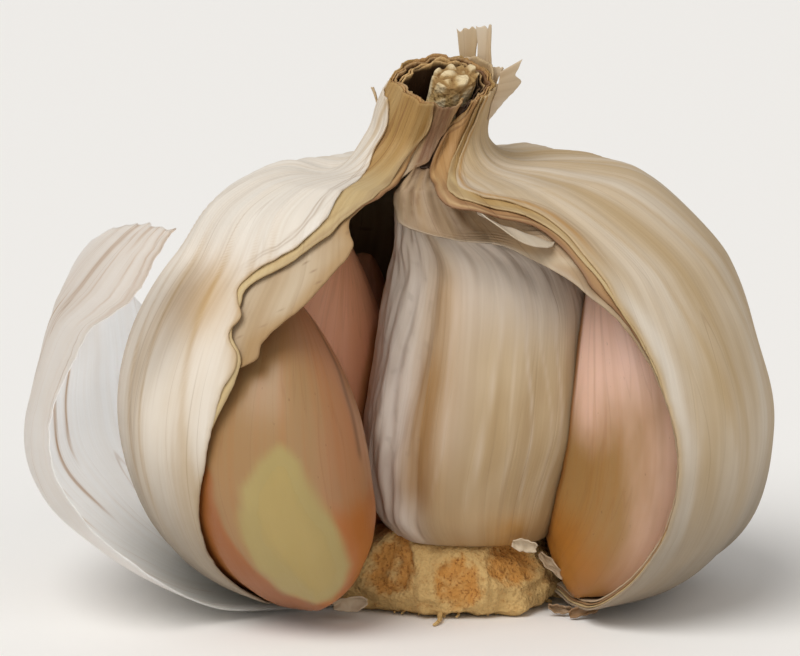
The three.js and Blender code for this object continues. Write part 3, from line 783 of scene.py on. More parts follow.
def outer_look(azimuth, share, to_edge):
    """Near white on the left with a tan patch, beige on the right, tan in the neck."""
    patch_width = mix(13, 17, step(azimuth, -62, -58))
    tan_patch = 0.95 * hump((azimuth + 60) / patch_width) * hump((share - 0.6) / 0.055)
    low_patch = 0.28 * hump((azimuth + 66) / 20) * hump((share - 0.48) / 0.1)
    # Painted highlight: the upper left shoulder is made paler.
    shoulder_highlight = 0.42 * hump((share - 0.74) / 0.07) * step(-azimuth, 20, 40)
    behind = 1 - step(azimuth, 110, 175)
    beside = behind * step(azimuth, -178, -120)
    right_side = 0.6 * step(azimuth, -10, 40) * behind
    # Painted shade: warmer towards the bottom.
    low = 0.45 * step(0.45 - share, 0, 0.25)
    neck = 0.35 * step(share, 0.8, 0.92) * step(azimuth, -90, -60) * behind
    neck = neck + 0.3 * step(share, 0.9, 1)
    mottle = 0.22 * grain(azimuth * 0.05 + share * 2, share * 6, 95) * beside
    streak_at = grain(azimuth * 0.1 + share * 3, share * 1.2, 94)
    streak_at = streak_at + 0.04 * grain(azimuth, share * 9, 93)
    streaks = mix(0.3, 0.18, step(azimuth, -20, 20)) * hump(streak_at / 0.1)
    streaks = streaks * step(share, 0.2, 0.4) * beside
    rim = 0.3 * hump(to_edge / 0.8)
    pale_rim = 0.4 * hump((to_edge - 2.8) / 2.6) * step(azimuth, 0, 10)
    pale_rim = pale_rim * (1 - step(share, 0.6, 0.66))
    layers = 0.8 * hump((to_edge - 2.6) / 1.3) * step(share, 0.64, 0.7) * step(azimuth, 0, 10)
    warm = 0.7 * tan_patch + low_patch + right_side + low + neck + rim + mottle + streaks
    # Painted shade: darker towards the bottom.
    shade = 0.24 * step(0.34 - share, 0, 0.24)
    return {
        "age": 0.06 + warm - pale_rim - shoulder_highlight,
        # Painted shade: greyer towards the bottom.
        "blush": 0.9 * step(0.48 - share, 0, 0.24),
        "amber": layers + 0.3 * tan_patch + 0.25 * streaks,
        "shade": shade + edge_lines(azimuth, share, to_edge, (3.9, 5.4)),
    }


leaf(
    "outer_sheath_leaf", outer_paper, "outer_sheath", (200, 235),
    (OUTER_RIGHT, OUTER_LEFT, OUTER_TOP), outer_look, inset=0.0, seed=1, tear=0.4, wall=0.18,
)

# %% [markdown]
# ### The two leaves under it
#
# Where the stack was torn, two older leaves show one behind the other, as a golden band and a
# red-brown one. Stripes in the outer leaf's colour would be quicker to make, but leaves of their own
# give the torn edges real steps and shadows.


# %% The tan and the red-brown leaf under it
def tan_look(azimuth, share, to_edge):
    """Golden in the neck and the collar, with a pale rim along the tear."""
    gold = 0.3 * hump((share - 0.75) / 0.03) * step(azimuth, 0, 20) + 0.45 * step(share, 0.78, 0.9)
    lines = edge_lines(azimuth, share, to_edge, (1.3, 2.7, 4.2))
    return {
        "age": 0.35 + gold - 0.5 * hump(to_edge / 3),
        "shade": 0.2 * hump(to_edge / 0.35) + lines,
    }


def red_look(azimuth, share, to_edge):
    """Red-brown, darkest at the tear, golden in the neck."""
    neck = step(share, 0.76, 0.9)
    lines = edge_lines(azimuth, share, to_edge, (1.8, 3.4, 4.8))
    pale = 0.5 * hump((to_edge - 2.6) / 0.8) * step(share, 0.62, 0.7)
    right_side = 0.25 * step(azimuth, 0, 15) * (1 - step(share, 0.66, 0.72))
    return {
        "age": 0.6 - 0.2 * neck - pale - right_side,
        "amber": 0.5 * neck,
        "shade": 0.5 * hump(to_edge / 0.8) + lines,
    }


leaf(
    "outer_sheath_tan_leaf", tan_paper, "outer_sheath", (120, 155),
    (TAN_RIGHT, TAN_LEFT, INNER_TOP), tan_look, inset=0.22, seed=31, tear=0.5, wall=0.14,
)
leaf(
    "inner_sheath_red_leaf", red_paper, "inner_sheath", (120, 155),
    (RED_RIGHT, RED_LEFT, INNER_TOP), red_look, inset=0.44, seed=47, tear=0.5, wall=0.14,
)

# %% [markdown]
# ### The inner leaf, with its flap and its film
#
# The innermost leaf hangs over the left cloves as a torn flap. On the right it has sunk onto the
# middle clove as a grey film. A cloth simulation could make it sink, but would not stop at the torn
# outline, so the film is simply moved back into the bulb, with soft folds above its hem.


# %% The inner leaf with its torn flap and its film
def inner_look(azimuth, share, to_edge):
    """Beige in the flap, pinkish grey in the neck's tongue and in the film on the right."""
    far_side = mix(90, 26, step(share, 0.82, 0.88))
    film = step(azimuth, -14, -6) * (1 - step(azimuth, far_side - 24, far_side))
    film = film * step(share, 0.56, 0.64)
    flap = step(-azimuth, 18, 24) * (1 - step(share, 0.76, 0.8)) * step(share, 0.5, 0.53)
    tan_edge = 0.35 * hump((azimuth + 42) / 5) + 0.5 * hump(to_edge / 3)
    tan_edge = (tan_edge + 0.35 * step(azimuth, -36, -29)) * flap
    freckle = 0.5 * step(grain(azimuth * 1.4, share * 90, 3), 0.52, 0.6) * flap
    neck = step(share, 0.84, 0.92) * (1 - film)
    grey = 0.75 * film * (1 - 0.5 * step(share, 0.88, 0.95))
    grey = grey * (0.5 + 0.5 * grain(azimuth * 0.3, share * 8, 93))
    # Painted shade: dark inside the neck's hollow, at the back.
    hollow = 0.9 * step(share, 0.92, 0.94) * (1 - step(share, 0.98, 0.986))
    hollow = hollow * step(abs(azimuth), 50, 75)
    blotch = step(grain(azimuth * 0.22, share * 8, 97), -0.1, 0.3)
    tongue = film * step(share, 0.82, 0.88) * (0.68 + 0.3 * blotch)
    # Painted shade: dark lines along wrinkles of the film.
    crease = 1 - step(abs(grain(azimuth * 0.35, share * 7, 98)), 0.02, 0.12)
    wrinkles = 0.3 * film * crease * step(share, 0.7, 0.74)
    hem = 0.8 * film * hump(to_edge / 1.4) * (1 - step(share, 0.78, 0.82))
    pale_fold = film * hump((share - 0.668 - 0.0012 * (26 - azimuth)) / 0.01)
    pale_fold = pale_fold * step(azimuth, 8, 14)
    warm = tan_edge + 0.25 * hump(to_edge / 0.8) + 0.4 * neck + 0.58 * film
    edge_shade = 0.22 * hump(to_edge / 0.6) * (1 - film)
    return {
        "age": 0.15 + warm - 0.6 * pale_fold - hem,
        "blush": grey * (1 - pale_fold),
        "amber": 0.5 * neck,
        "shade": edge_shade + freckle + hollow + tongue + wrinkles * (1 - pale_fold),
    }


FILM_DEPTH = 6.1


def film_droop(azimuth, share):
    """The film on the right has sunk back onto the middle clove, in soft folds."""
    side = 1 - step(azimuth, 12, 34)
    sunk = FILM_DEPTH * step(share, 0.6, 0.68) * (1 - step(share, 0.7, 0.85))
    sunk = sunk + 0.5 * (1 - step(share, 0.87, 0.92))
    folded = 0.5 * grain(azimuth * 0.2, share * 5, 91) + 0.5 * grain(azimuth * 0.4, share * 7, 92)
    return side * (sunk + folded * step(share, 0.705, 0.75) * (1 - step(share, 0.86, 0.9)))


leaf(
    "inner_sheath_leaf", inner_paper, "inner_sheath", (200, 230),
    (INNER_RIGHT, INNER_LEFT, INNER_TOP), inner_look, inset=0.68, seed=60, tear=0.5, wall=0.14,
    own_folds=0.1, droop=film_droop,
)

# %% [markdown]
# ### The film's white edge
#
# The film's lower edge is rolled and shows as a white lip under the collar, on the right. It is a
# narrow strip of its own, because the leaf's grid is too coarse there for so thin a roll.

# %% White edge of the film
STRIP_AZIMUTHS = (17, 31.5)
STRIP_TOP = (0.738, 0.69)
STRIP_HEIGHT = 0.032


def strip_place(across, up):
    """A crescent that hangs below the collar."""
    azimuth = mix(*STRIP_AZIMUTHS, across)
    top = mix(*STRIP_TOP, across**1.3)
    hang = STRIP_HEIGHT * math.sin(math.pi * across) * (1 - up)
    share = top - hang + 0.003 * grain(across * 5, up, 99)
    point = on_bulb(azimuth, share, 0.62 + 0.5 * up)
    return point, leaf_spot(azimuth, share), {"age": 0.45, "blush": 0.3}


add_piece(
    sheet(60, 10, strip_place), "inner_sheath_white_edge", outer_paper,
    "inner_sheath", wall=0.1,
)

# %% [markdown]
# ### Papers rolled inside the neck
#
# Seen from above, the cut neck is a wad of thin papers, one inside the next, round a dark hollow.
# Two short leaves, each set a little further in, thicken the rim, and their lower parts are painted
# nearly black, since hardly any light gets down there.


# %% Papers rolled inside the neck
def ring_look(azimuth, share, to_edge):
    """Golden brown at the rim, nearly black further down inside."""
    dark_from = mix(0.976, 0.986, step(abs(azimuth), 60, 140))
    return {"age": 0.4, "amber": 0.2, "shade": 0.95 * step(dark_from - share, 0, 0.009)}


NECK_PAPER_TOP = [(-180, 0.988), (-60, 0.978), (20, 0.965), (100, 0.975), (180, 0.988)]
NECK_PAPER_LEFT = [(0, 8), (1, 12)]
for index, inset in enumerate((1.15, 1.45)):
    right_edge = [(0, 26 - 3 * index), (1, 26)]
    leaf(
        f"inner_sheath_neck_paper_{index + 1}", rim_paper, "inner_sheath", (90, 30),
        (right_edge, NECK_PAPER_LEFT, NECK_PAPER_TOP), ring_look, inset=inset, seed=70 + index * 9,
        tear=0.3, wall=0.14, foot=0.86, own_folds=0.12,
    )

# %% [markdown]
# ## Cloves
#
# A clove is a bent teardrop with a rounded back and a wedge-shaped inner side. A ball is moved
# onto that shape: its poles become the foot and the tip. Growing cloves press on each other and on
# the leaves, so a clove's vertices that would enter a neighbour are pushed back to its surface,
# which flattens the sides just as it does in a real bulb.

# %% Clove shapes
# Each clove: foot, belly and tip in mm, the azimuth it faces, half width and half depth in mm.
CLOVES = {
    "clove_left": ((-12.8, -9.8, 3.1), (-18.6, -14.4, 13), (-15.2, -9.5, 31.2), -44, 10.9, 9.2),
    "clove_right": ((11.8, -4.6, 3), (23, -11.4, 12), (14.4, -6.5, 34), 58, 8.3, 8.5),
    "clove_left_rear": ((-9, 2.4, 4), (-18.6, 1.6, 19), (-9.8, -0.5, 35), -92, 7.8, 9.3),
    "clove_right_rear": ((9.2, 4.8, 3.6), (22.5, 10.5, 13), (10.5, 5.6, 35.5), 115, 7.9, 8),
    "clove_back_left": ((-5.2, 8.4, 3.6), (-13.4, 20, 13), (-7.4, 12, 31.5), -146, 7.8, 7.8),
    "clove_back_right": ((3.6, 9.2, 3.6), (7.6, 22.5, 13), (3, 11, 35.5), 166, 7.8, 7.8),
}
CLOVE_WEDGE = 0.34
CLOVE_LENGTH = 34.0
# How much wider a clove is on its left and on its right, where it fills the room beside it.
CLOVE_FILLS = {"clove_left": (0.5, 0.14)}
# A clove's girth: share of its length, share of its full width.
PLUMPNESS = [
    (0, 0), (0.03, 0.5), (0.1, 0.78), (0.22, 0.95), (0.38, 1), (0.55, 0.99), (0.7, 0.89),
    (0.84, 0.65), (0.94, 0.34), (1, 0.05),
]
plumpness = through(PLUMPNESS)


def ball(columns, rows, place):
    """A ball moved by place(along, around), which gives a point, a map place and numbers."""
    build = bmesh.new()
    bmesh.ops.create_uvsphere(build, u_segments=columns, v_segments=rows, radius=1.0)
    build.verts.index_update()
    count = len(build.verts)

    def corner_number(face):
        low, middle, high = sorted(vert.index for vert in face.verts)[:3]
        return (low * count + middle) * count + high

    # The operator lists the faces in another order on every run, and pressing would follow it.
    build.faces.sort(key=corner_number)
    facts = {}
    for vert in build.verts:
        along = 1 - math.acos(clamp(vert.co.z, -1, 1)) / math.pi
        around = math.atan2(vert.co.x, -vert.co.y)
        point, spot, numbers = place(along, around)
        facts[vert.index] = (spot, numbers)
        vert.co = point
    fill_layers(build, facts)
    bmesh.ops.recalc_face_normals(build, faces=build.faces)
    return build


def clove_frame(name, along):
    """A clove's middle, its side direction and its outward direction at a share of its length."""
    foot, belly, tip = (Vector(point) for point in CLOVES[name][:3])
    middle = (1 - along) ** 2 * foot + 2 * along * (1 - along) * belly + along**2 * tip
    tangent = (2 * (1 - along) * (belly - foot) + 2 * along * (tip - belly)).normalized()
    facing = math.radians(CLOVES[name][3])
    back = Vector((math.sin(facing), -math.cos(facing), 0))
    side = tangent.cross(back).normalized()
    return middle, side, side.cross(tangent).normalized()


def clove_ball(name, look, columns=110, rows=84, grow=0.0):
    """A clove's body. look(along, around) gives its colour numbers."""
    half_width, half_depth = CLOVES[name][4:]
    fill_left, fill_right = CLOVE_FILLS.get(name, (0, 0))
    seed = len(name)

    def place(along, around):
        middle, side, out = clove_frame(name, along)
        girth = plumpness(along)
        wedge = 1 - CLOVE_WEDGE * (1 - math.cos(around)) / 2
        ribs = 0.16 * grain(around * 2.6, along * 1.5, seed) * girth
        ribs += 0.05 * grain(around * 8, along * 2, seed + 1)
        fill = fill_left * step(-math.sin(around), 0, 0.7)
        fill += fill_right * step(math.sin(around), 0, 0.7)
        wide = (half_width * girth * (1 + fill) + grow + ribs) * math.sin(around) * wedge
        deep = (half_depth * girth + grow + ribs) * math.cos(around)
        point = middle + wide * side + deep * out
        return point, (around * half_width, along * CLOVE_LENGTH), look(along, around)

    return ball(columns, rows, place)


print("cloves in the ring:", len(CLOVES))

# %% [markdown]
# ### What a clove can't pass
#
# In the real bulb the cloves grow until they touch. Three helpers do the same: one presses vertices
# off a surface that lies near, one pushes them away from the middle clove's axis, and one lays the
# front left clove's foot against the plate. A last one builds the hollow inside the leaves.

# %% Pressing cloves on their neighbours
# Where the left clove's foot lies against the plate: x and height of two points of a line, as seen
# from the front, how the line rises towards the back, and how far it is lifted, in mm.
FOOT_CUT = ((-5.4, 7.4), (-9.9, 0.8))
FOOT_CUT_SLOPE = 0.158
FOOT_CUT_LIFT = 1.0


def press_clear(build, tree, gap):
    """Push vertices sideways, away from the middle clove's axis, to a gap from its surface."""
    for vert in build.verts:
        axis = Vector((centre_x(vert.co.z), centre_y(vert.co.z), vert.co.z))
        away = vert.co - axis
        if not CENTRE_LOW < vert.co.z < CENTRE_HIGH or away.length < 1e-6:
            continue
        place, _, _, distance = tree.ray_cast(axis, away.normalized())
        if place and away.length < distance + gap:
            vert.co = axis + away.normalized() * (distance + gap)


def flatten_foot(build, gap):
    """Push the left clove's foot up and left, off the line where it meets the plate."""
    (ax, az), (bx, bz) = FOOT_CUT
    line = Vector((bx - ax, 0, bz - az)).normalized()
    off = Vector((line.z, 0, -line.x))
    for vert in build.verts:
        height = vert.co.z + FOOT_CUT_SLOPE * vert.co.y - az + FOOT_CUT_LIFT
        seen = Vector((vert.co.x - ax, 0, height))
        short = gap - seen.dot(off)
        if short > 0:
            vert.co += off * short


def press(build, tree, gap, keep_outside=True):
    """Push vertices to a gap from a surface, to its outer side or to its inner side."""
    way = 1 if keep_outside else -1
    for vert in build.verts:
        place, normal, _, _ = tree.find_nearest(vert.co)
        clearance = (vert.co - place).dot(normal) * way
        if clearance < gap:
            vert.co = place + normal * way * gap


def fit_clove(build, to_leaves, to_centre):
    """Press a clove on the inside of the leaves and on the middle clove, to the given gaps in mm."""
    press(build, cavity, to_leaves, keep_outside=False)
    press_clear(build, centre_tree, to_centre)


# %% The hollow inside the leaves
CAVITY_TOP = 0.86


def hollow_tree(inset, inset_edge, inset_open):
    """The inside of the leaves, where cloves stop. It is wider where the leaves are open."""
    open_left, open_right = through(INNER_LEFT), through(INNER_RIGHT)
    outer_left = through(OUTER_LEFT)
    thin_edge = (inset - inset_edge) / (inset - inset_open)

    def place(along, around):
        share = CAVITY_TOP * clamp((along - 0.04) / 0.92, 0, 1)
        azimuth = math.degrees(around)
        from_edge = min(azimuth - open_left(share), open_right(share) - azimuth)
        opened = step(from_edge, 0, 5)
        if azimuth < outer_left(share):
            opened = thin_edge * step(azimuth - open_left(share), 0, 2)
        elif azimuth < 0:
            past_outer = step(azimuth - outer_left(share), 0, 4)
            opened = mix(thin_edge, 1, past_outer) * step(from_edge, 0, 2)
        opened *= 1 - step(share, 0.56, 0.66)
        point = on_bulb(azimuth, share, mix(inset, inset_open, opened))
        if along < 0.01 or along > 0.99:
            point = Vector((0, 0, point.z))
        return point, (0, 0), {}

    build = ball(120, 80, place)
    tree = BVHTree.FromBMesh(build)
    build.free()
    return tree


cavity = hollow_tree(0.95, 0.42, -0.1)
print("the hollow is 0.95 mm under the surface, and 0.42 mm where the leaves are thin")

# %% [markdown]
# ## The middle clove in its grey sheath
#
# Its skin is loose and crumpled, drawn together above the clove into a tail that runs up into the
# neck. The cross-section is given by height, with a soft furrow down its left side.

# %% Middle clove
# The body by height: height, middle x, half width, middle y, half depth, all in mm.
CENTRE_CLOVE = [
    (5.6, 2.6, 4.6, -4, 3.4), (6.4, 2.5, 6.4, -4, 4.8), (7.4, 2.3, 7.6, -4.1, 5.8),
    (8.8, 2, 8.6, -4.2, 6.5), (11, 2, 9.3, -4.2, 6.9), (17, 2.8, 10.5, -4.2, 7.2),
    (24, 3.5, 10.2, -4, 7), (30, 3.8, 9.6, -3.6, 6.2), (33.5, 3, 8, -3.4, 5.4),
    (36, 0.8, 5.6, -4.6, 4.4), (38.5, -1.2, 3.4, -5.6, 3.2), (40.5, -1.6, 2.4, -5.4, 2.4),
]
FURROW_AZIMUTH = -30
centre_x, centre_wide = through(CENTRE_CLOVE, 1), through(CENTRE_CLOVE, 2)
centre_y, centre_deep = through(CENTRE_CLOVE, 3), through(CENTRE_CLOVE, 4)
CENTRE_LOW = CENTRE_CLOVE[0][0]
CENTRE_HIGH = CENTRE_CLOVE[-1][0]
# Long soft creases of the grey sheath: azimuth at the foot and at the collar, depth in mm, width.
CENTRE_CREASES = [
    (-34, -30, 0.9, 10), (-52, -46, 0.3, 4), (-66, -62, 0.3, 5), (-14, -12, -0.3, 8),
    (-42, -20, -0.25, 5), (8, 2, 0.1, 6), (28, 18, 0.1, 8), (50, 38, -0.1, 10),
]
# Fine pale veins of the grey sheath: azimuth at the foot and at the collar, strength.
CENTRE_VEINS = [
    (-18, -12, 0.25), (0, 6, 0.3), (13, 9, 0.2), (27, 16, 0.4), (38, 24, 0.2), (43, 36, 0.3),
]


def squarish(value):
    """Sine or cosine pushed outwards a little, for a rounded-square section."""
    return math.copysign(abs(value) ** 0.82, value)


def centre_out(height, azimuth):
    """How far the grey sheath stands out from the plain shape, in mm."""
    up = (height - 8) / 26
    creases = 0.0
    for low, high, depth, width in CENTRE_CREASES:
        middle = mix(low, high, up) + 3 * grain(height * 0.15, low, 44)
        creases -= depth * hump(turn(azimuth, middle) / width)
    creases *= step(height, 7, 12) * (1 - 0.6 * step(height, 31, 36))
    left = step(-azimuth, 18, 40)
    slanted = azimuth - 0.75 * height * left
    crumple = (0.12 + 0.3 * left) * grain(slanted * 0.06, height * 0.16, 41)
    crumple += (0.04 + 0.16 * left) * grain(slanted * 0.2, height * 0.4, 43)
    top = step(height, 29, 34)
    gathers = 0.4 * grain(azimuth * 0.1, height * 0.25, 45)
    gathers += 0.2 * grain(azimuth * 0.3, height * 0.3, 47)
    return (creases + crumple) * step(height, CENTRE_LOW, CENTRE_LOW + 3) + top * gathers


def centre_look(height, azimuth, left):
    """Grey and pinkish on the left, amber at the lower right, with painted light and shade below."""
    # Painted shade: the furrow is made browner and darker.
    furrow = hump((azimuth - FURROW_AZIMUTH - 5 - 0.3 * (height - 20)) / 13)
    furrow *= step(height, 9, 13) * (1 - step(height, 30, 36))
    furrow *= 1 - 0.35 * step(height, 22, 27)
    white_band = hump((azimuth + 12 - 0.2 * (height - 20)) / 9) * step(height, 12, 18)
    low_right = hump((azimuth - 24) / 14) * (1 - step(height, 8, 11))
    veins = 0.0
    for low, high, strength in CENTRE_VEINS:
        place = mix(low, high, step(height, 8, 34)) + 5 * grain(height * 0.09, low, 48)
        veins += 0.6 * strength * hump(turn(azimuth, place) / 0.9)
    veins *= step(height, 9, 14) * (1 - step(height, 30, 34))
    patch = 0.35 * grain(azimuth * 0.04, height * 0.08, 40)
    patch += 0.3 * grain(azimuth * 0.12, height * 0.2, 39)
    # Painted shade: the lower part is made browner and darker.
    low = step(16 - height, -6, 6)
    # Painted light: the upper part is made paler, here and by the step in the first number below.
    painted_light_top = 0.9 * step(height, 24, 33) * step(azimuth, -40, 30)
    foot_stain = 0.25 * step(10 - height, -3, 2) * step(azimuth, -40, 0)
    blotch = step(grain(azimuth * 0.2 + height * 0.2, height * 0.8, 49), 0.3, 0.6)
    return {
        "age": 0.45 + patch - veins - 0.45 * step(height, 20, 30) + 0.4 * low - 0.3 * left,
        "blush": 0.9 * left + painted_light_top + veins + 0.35 * white_band,
        "amber": 0.8 * furrow + 0.9 * low_right + foot_stain,
        "shade": 0.2 * left * blotch * step(height, 12, 18) + 0.2 * low + 0.2 * furrow,
    }


def centre_place(along, around):
    """A point of the grey sheath, with the ends rounded off."""
    height = mix(CENTRE_LOW, CENTRE_HIGH, along)
    cap = math.sqrt(min(1.0, along * 30, (1 - along) * 40))
    azimuth = math.degrees(around)
    out = centre_out(height, azimuth)
    x = centre_x(height) + cap * (centre_wide(height) + out) * squarish(math.sin(around))
    y = centre_y(height) - cap * (centre_deep(height) + out) * squarish(math.cos(around))
    left = step(-azimuth, 12, 45)
    slant = 0.13 * height * left
    slant = slant + 0.7 * (0.3 + left) * grain(azimuth * 0.07, height * 0.14, 38)
    spot = (azimuth * 0.17 - slant, height)
    return Vector((x, y, height)), spot, centre_look(height, azimuth, left)


centre_build = ball(205, 172, centre_place)
centre_tree = BVHTree.FromBMesh(centre_build)
add_piece(centre_build, "clove_centre_in_sheath", grey_skin, "clove_centre")

# %% [markdown]
# ### The front left clove
#
# This clove's skin is torn open in a window, and the flesh shows through it. Cutting the window with
# a Boolean would leave a clean, hard edge. Instead the skin's vertices inside the outline sink onto
# the flesh and take its colour, and the innermost ones are deleted, so the tear has a soft lip.

# %% Torn window of the front left clove
# The torn window as seen from the front: x, height.
WINDOW = [
    (-15.1, 18.8), (-17.2, 17.2), (-18.6, 14.8), (-18.9, 12.4), (-18.4, 9.6), (-17.2, 6.8),
    (-14.8, 4.4), (-12.2, 3.4), (-10.6, 3.6), (-9.4, 5), (-8.6, 7.2), (-9.9, 10.8),
    (-11.9, 14.2), (-13.2, 17.4),
]
# The inner border of the amber band at the clove's left and foot: height, x.
AMBER_RIM = [
    (0, -6), (3.2, -11.4), (4.2, -14.4), (5.8, -16.5), (7.7, -18.2), (10.7, -20.2),
    (14.8, -21.3), (20, -22.2),
]
# Only skin in front of this y can be torn. The rest counts as far outside the window, in mm.
WINDOW_FRONT = -5
FAR_OUTSIDE = -9.0
# Skin sinks onto the flesh over this depth into the window, and ends at this one, in mm.
SINK = 0.26
SINK_OVER = 2.6
HOLE_DEPTH = 2.9


def window_depth(x, z):
    """How far a point, seen from the front, lies inside the torn window: positive inside, in mm."""
    inside = False
    nearest = 1e9
    for (ax, az), (bx, bz) in zip(WINDOW, WINDOW[1:] + WINDOW[:1]):
        if (az > z) != (bz > z) and x < ax + (z - az) / (bz - az) * (bx - ax):
            inside = not inside
        edge = Vector((bx - ax, bz - az))
        t = clamp(Vector((x - ax, z - az)).dot(edge) / edge.length_squared, 0, 1)
        nearest = min(nearest, (Vector((x - ax, z - az)) - edge * t).length)
    return nearest if inside else -nearest


print("the middle of the window is", round(window_depth(-14, 11), 1), "mm from its outline")


# %% Flesh and torn skin of the front left clove
def left_look(along, around):
    """Olive tan in the middle, pinkish at the sides, amber at the left rim and the lower right."""
    side = math.degrees(around)
    # Painted shade: a dark line along a crease, and one along the ledge of a second skin.
    crease = 0.75 * hump((side + 33) / 1.6) * step(along, 0.42, 0.5) * (1 - step(along, 0.72, 0.8))
    fold = 0.6 * hump((side - 104 + 5 * grain(along * 9, 0, 62)) / 3) * step(along, 0.5, 0.56)
    lower_right = step(side, 20, 40) * step(0.5 - along, 0, 0.22)
    return {
        "blush": 0.6 * step(abs(side + 2), 42, 90) + 0.4 * step(along, 0.72, 0.9),
        "amber": lower_right,
        "shade": crease + fold,
    }


left_flesh = clove_ball("clove_left", left_look, grow=-0.14)
fit_clove(left_flesh, 0.3, 0.15)
flatten_foot(left_flesh, 0.1)
left_build = clove_ball("clove_left", left_look, 150, 120)
fit_clove(left_build, 0.12, 0.05)
flatten_foot(left_build, 0.0)
left_tree = BVHTree.FromBMesh(left_build)
flesh_layer, amber_layer, blush_layer, shade_layer = (
    left_build.verts.layers.float[layer] for layer in ("flesh", "amber", "blush", "shade")
)
rim_x = through(AMBER_RIM)
for vert in left_build.verts:
    in_front = vert.co.y < WINDOW_FRONT
    depth = window_depth(vert.co.x, vert.co.z) if in_front else FAR_OUTSIDE
    depth += 0.5 * grain(vert.co.x * 0.5, vert.co.z * 0.35, 61)
    vert[flesh_layer] = step(depth, -0.5, 0.5)
    in_rim = rim_x(vert.co.z) - vert.co.x + 0.5 * grain(vert.co.x * 0.6, vert.co.z * 0.4, 63)
    in_rim = step(in_rim, -0.5, 0.7) * (1 - step(vert.co.z, 15, 20))
    vert[amber_layer] = max(vert[amber_layer], 0.95 * in_rim)
    vert[blush_layer] *= 1 - 0.6 * in_rim
    vert[shade_layer] += (0.32 + 0.25 * step(3.2 - vert.co.z, 0, 2.4)) * in_rim
    vert.co -= vert.normal * SINK * clamp(depth / SINK_OVER, 0, 1)
torn = [
    vert for vert in left_build.verts
    if vert.co.y < WINDOW_FRONT and window_depth(vert.co.x, vert.co.z) > HOLE_DEPTH
]
bmesh.ops.delete(left_build, geom=torn, context="VERTS")

add_piece(left_flesh, "clove_left_flesh_body", flesh_finish, "clove_left_flesh")
add_piece(
    left_build, "clove_left_torn_skin", left_skin, "clove_left_skin", wall=0.06
)

# %% [markdown]
# ### The other cloves of the ring
#
# Two more cloves show, and three fill the closed back. Each is a ball of its own, pressed on the
# hollow, the middle clove and the cloves that are already in place, in that order. Where it meets
# the middle clove it gets a narrow red-brown band of painted shade.


# %% The other cloves of the ring
def rear_look(along, around):
    """Brown-pink all over, deeper brown low down, partly its own colour and partly painted shade."""
    return {"blush": 0.5, "amber": 0.42 * step(0.5 - along, 0, 0.3)}


def right_look(along, around):
    """Pink at the top and the outer side, ochre in the middle, amber at the foot."""
    side = math.degrees(around)
    outer_side = 0.5 * step(side, -92 - 20 * step(along, 0.3, 0.6), -44) * step(along, 0.06, 0.2)
    upper = step(along + 0.05 * grain(side * 0.05, 1, 65), 0.36, 0.95)
    stain = step(0.36 - along, -0.1, 0.26) * step(-side, 20, 90)
    # Painted shade along the side that meets the middle clove.
    crease = 0.4 * hump((side + 142) / 7) * step(along, 0.3, 0.5)
    return {
        "blush": max(upper, outer_side),
        "amber": stain + 0.3 * step(0.12 - along, 0, 0.1),
        "shade": crease + 0.3 * step(0.1 - along, 0, 0.08),
    }


def paint_contact_shade(build, tree):
    """Painted shade: a narrow red-brown band where a clove meets the middle one."""
    shade = build.verts.layers.float["shade"]
    amber = build.verts.layers.float["amber"]
    for vert in build.verts:
        near = 1 - step(tree.find_nearest(vert.co)[3], 0.35, 1.1)
        vert[shade] = max(vert[shade], 0.4 * near)
        vert[amber] = max(vert[amber], 0.8 * near)


placed = [left_tree]
# The last three are hidden in the bulb, so they have fewer faces.
for name, look, finish, columns, rows in [
    ("clove_right", right_look, right_skin, 110, 84),
    ("clove_left_rear", rear_look, rear_skin, 110, 84),
    ("clove_right_rear", rear_look, rear_skin, 70, 54),
    ("clove_back_left", rear_look, rear_skin, 70, 54),
    ("clove_back_right", rear_look, rear_skin, 70, 54),
]:
    body = clove_ball(name, look, columns, rows)
    fit_clove(body, 0.12, 0.08)
    for tree in placed:
        press(body, tree, 0.08)
    paint_contact_shade(body, centre_tree)
    placed.append(BVHTree.FromBMesh(body))
    add_piece(body, name + "_in_skin", finish, name)
print("ring cloves:", len(placed))

# %% [markdown]
# ## The basal plate
#
# The plate is a low dome of dried stem. Each missing clove has left a rough, sunken scar with a
# raised rim, and the rest of its flank is ridged. Short dry roots stand out round its lower edge.

# %% Plate
# Half the plate's section: radius, height, in mm.
PLATE_PROFILE = [
    (0, 0), (8.8, 0), (10.2, 0.6), (10.9, 1.9), (10.6, 3.6), (9.6, 5.4), (8.3, 6.5), (6.9, 7.1),
    (0, 7.3),
]
PLATE_X = 0.7
# Scars: azimuth, height, half width in degrees, half height in mm, depth in mm.
SCARS = [(-34, 4.3, 12.5, 2.2, 0.5), (1.5, 3.4, 11.5, 2.6, 0.45), (33, 4.8, 15.5, 1.9, 0.5)]
# Ridges of the flank: azimuth, height in mm, half width in degrees.
PLATE_RIDGES = [(-16, 0.5, 4), (15, 0.45, 2.5), (20, 0.35, 2), (-54, 0.3, 4), (52, 0.4, 4)]


def along_profile(points, share):
    """A point that lies a share of the way along a rounded outline."""
    spread = [0.0]
    for a, b in zip(points, points[1:]):
        spread.append(spread[-1] + math.dist(a, b))
    goal = share * spread[-1]
    i = max(k for k in range(len(points) - 1) if spread[k] <= goal + 1e-9)
    t = (goal - spread[i]) / (spread[i + 1] - spread[i])
    return mix(points[i][0], points[i + 1][0], t), mix(points[i][1], points[i + 1][1], t)


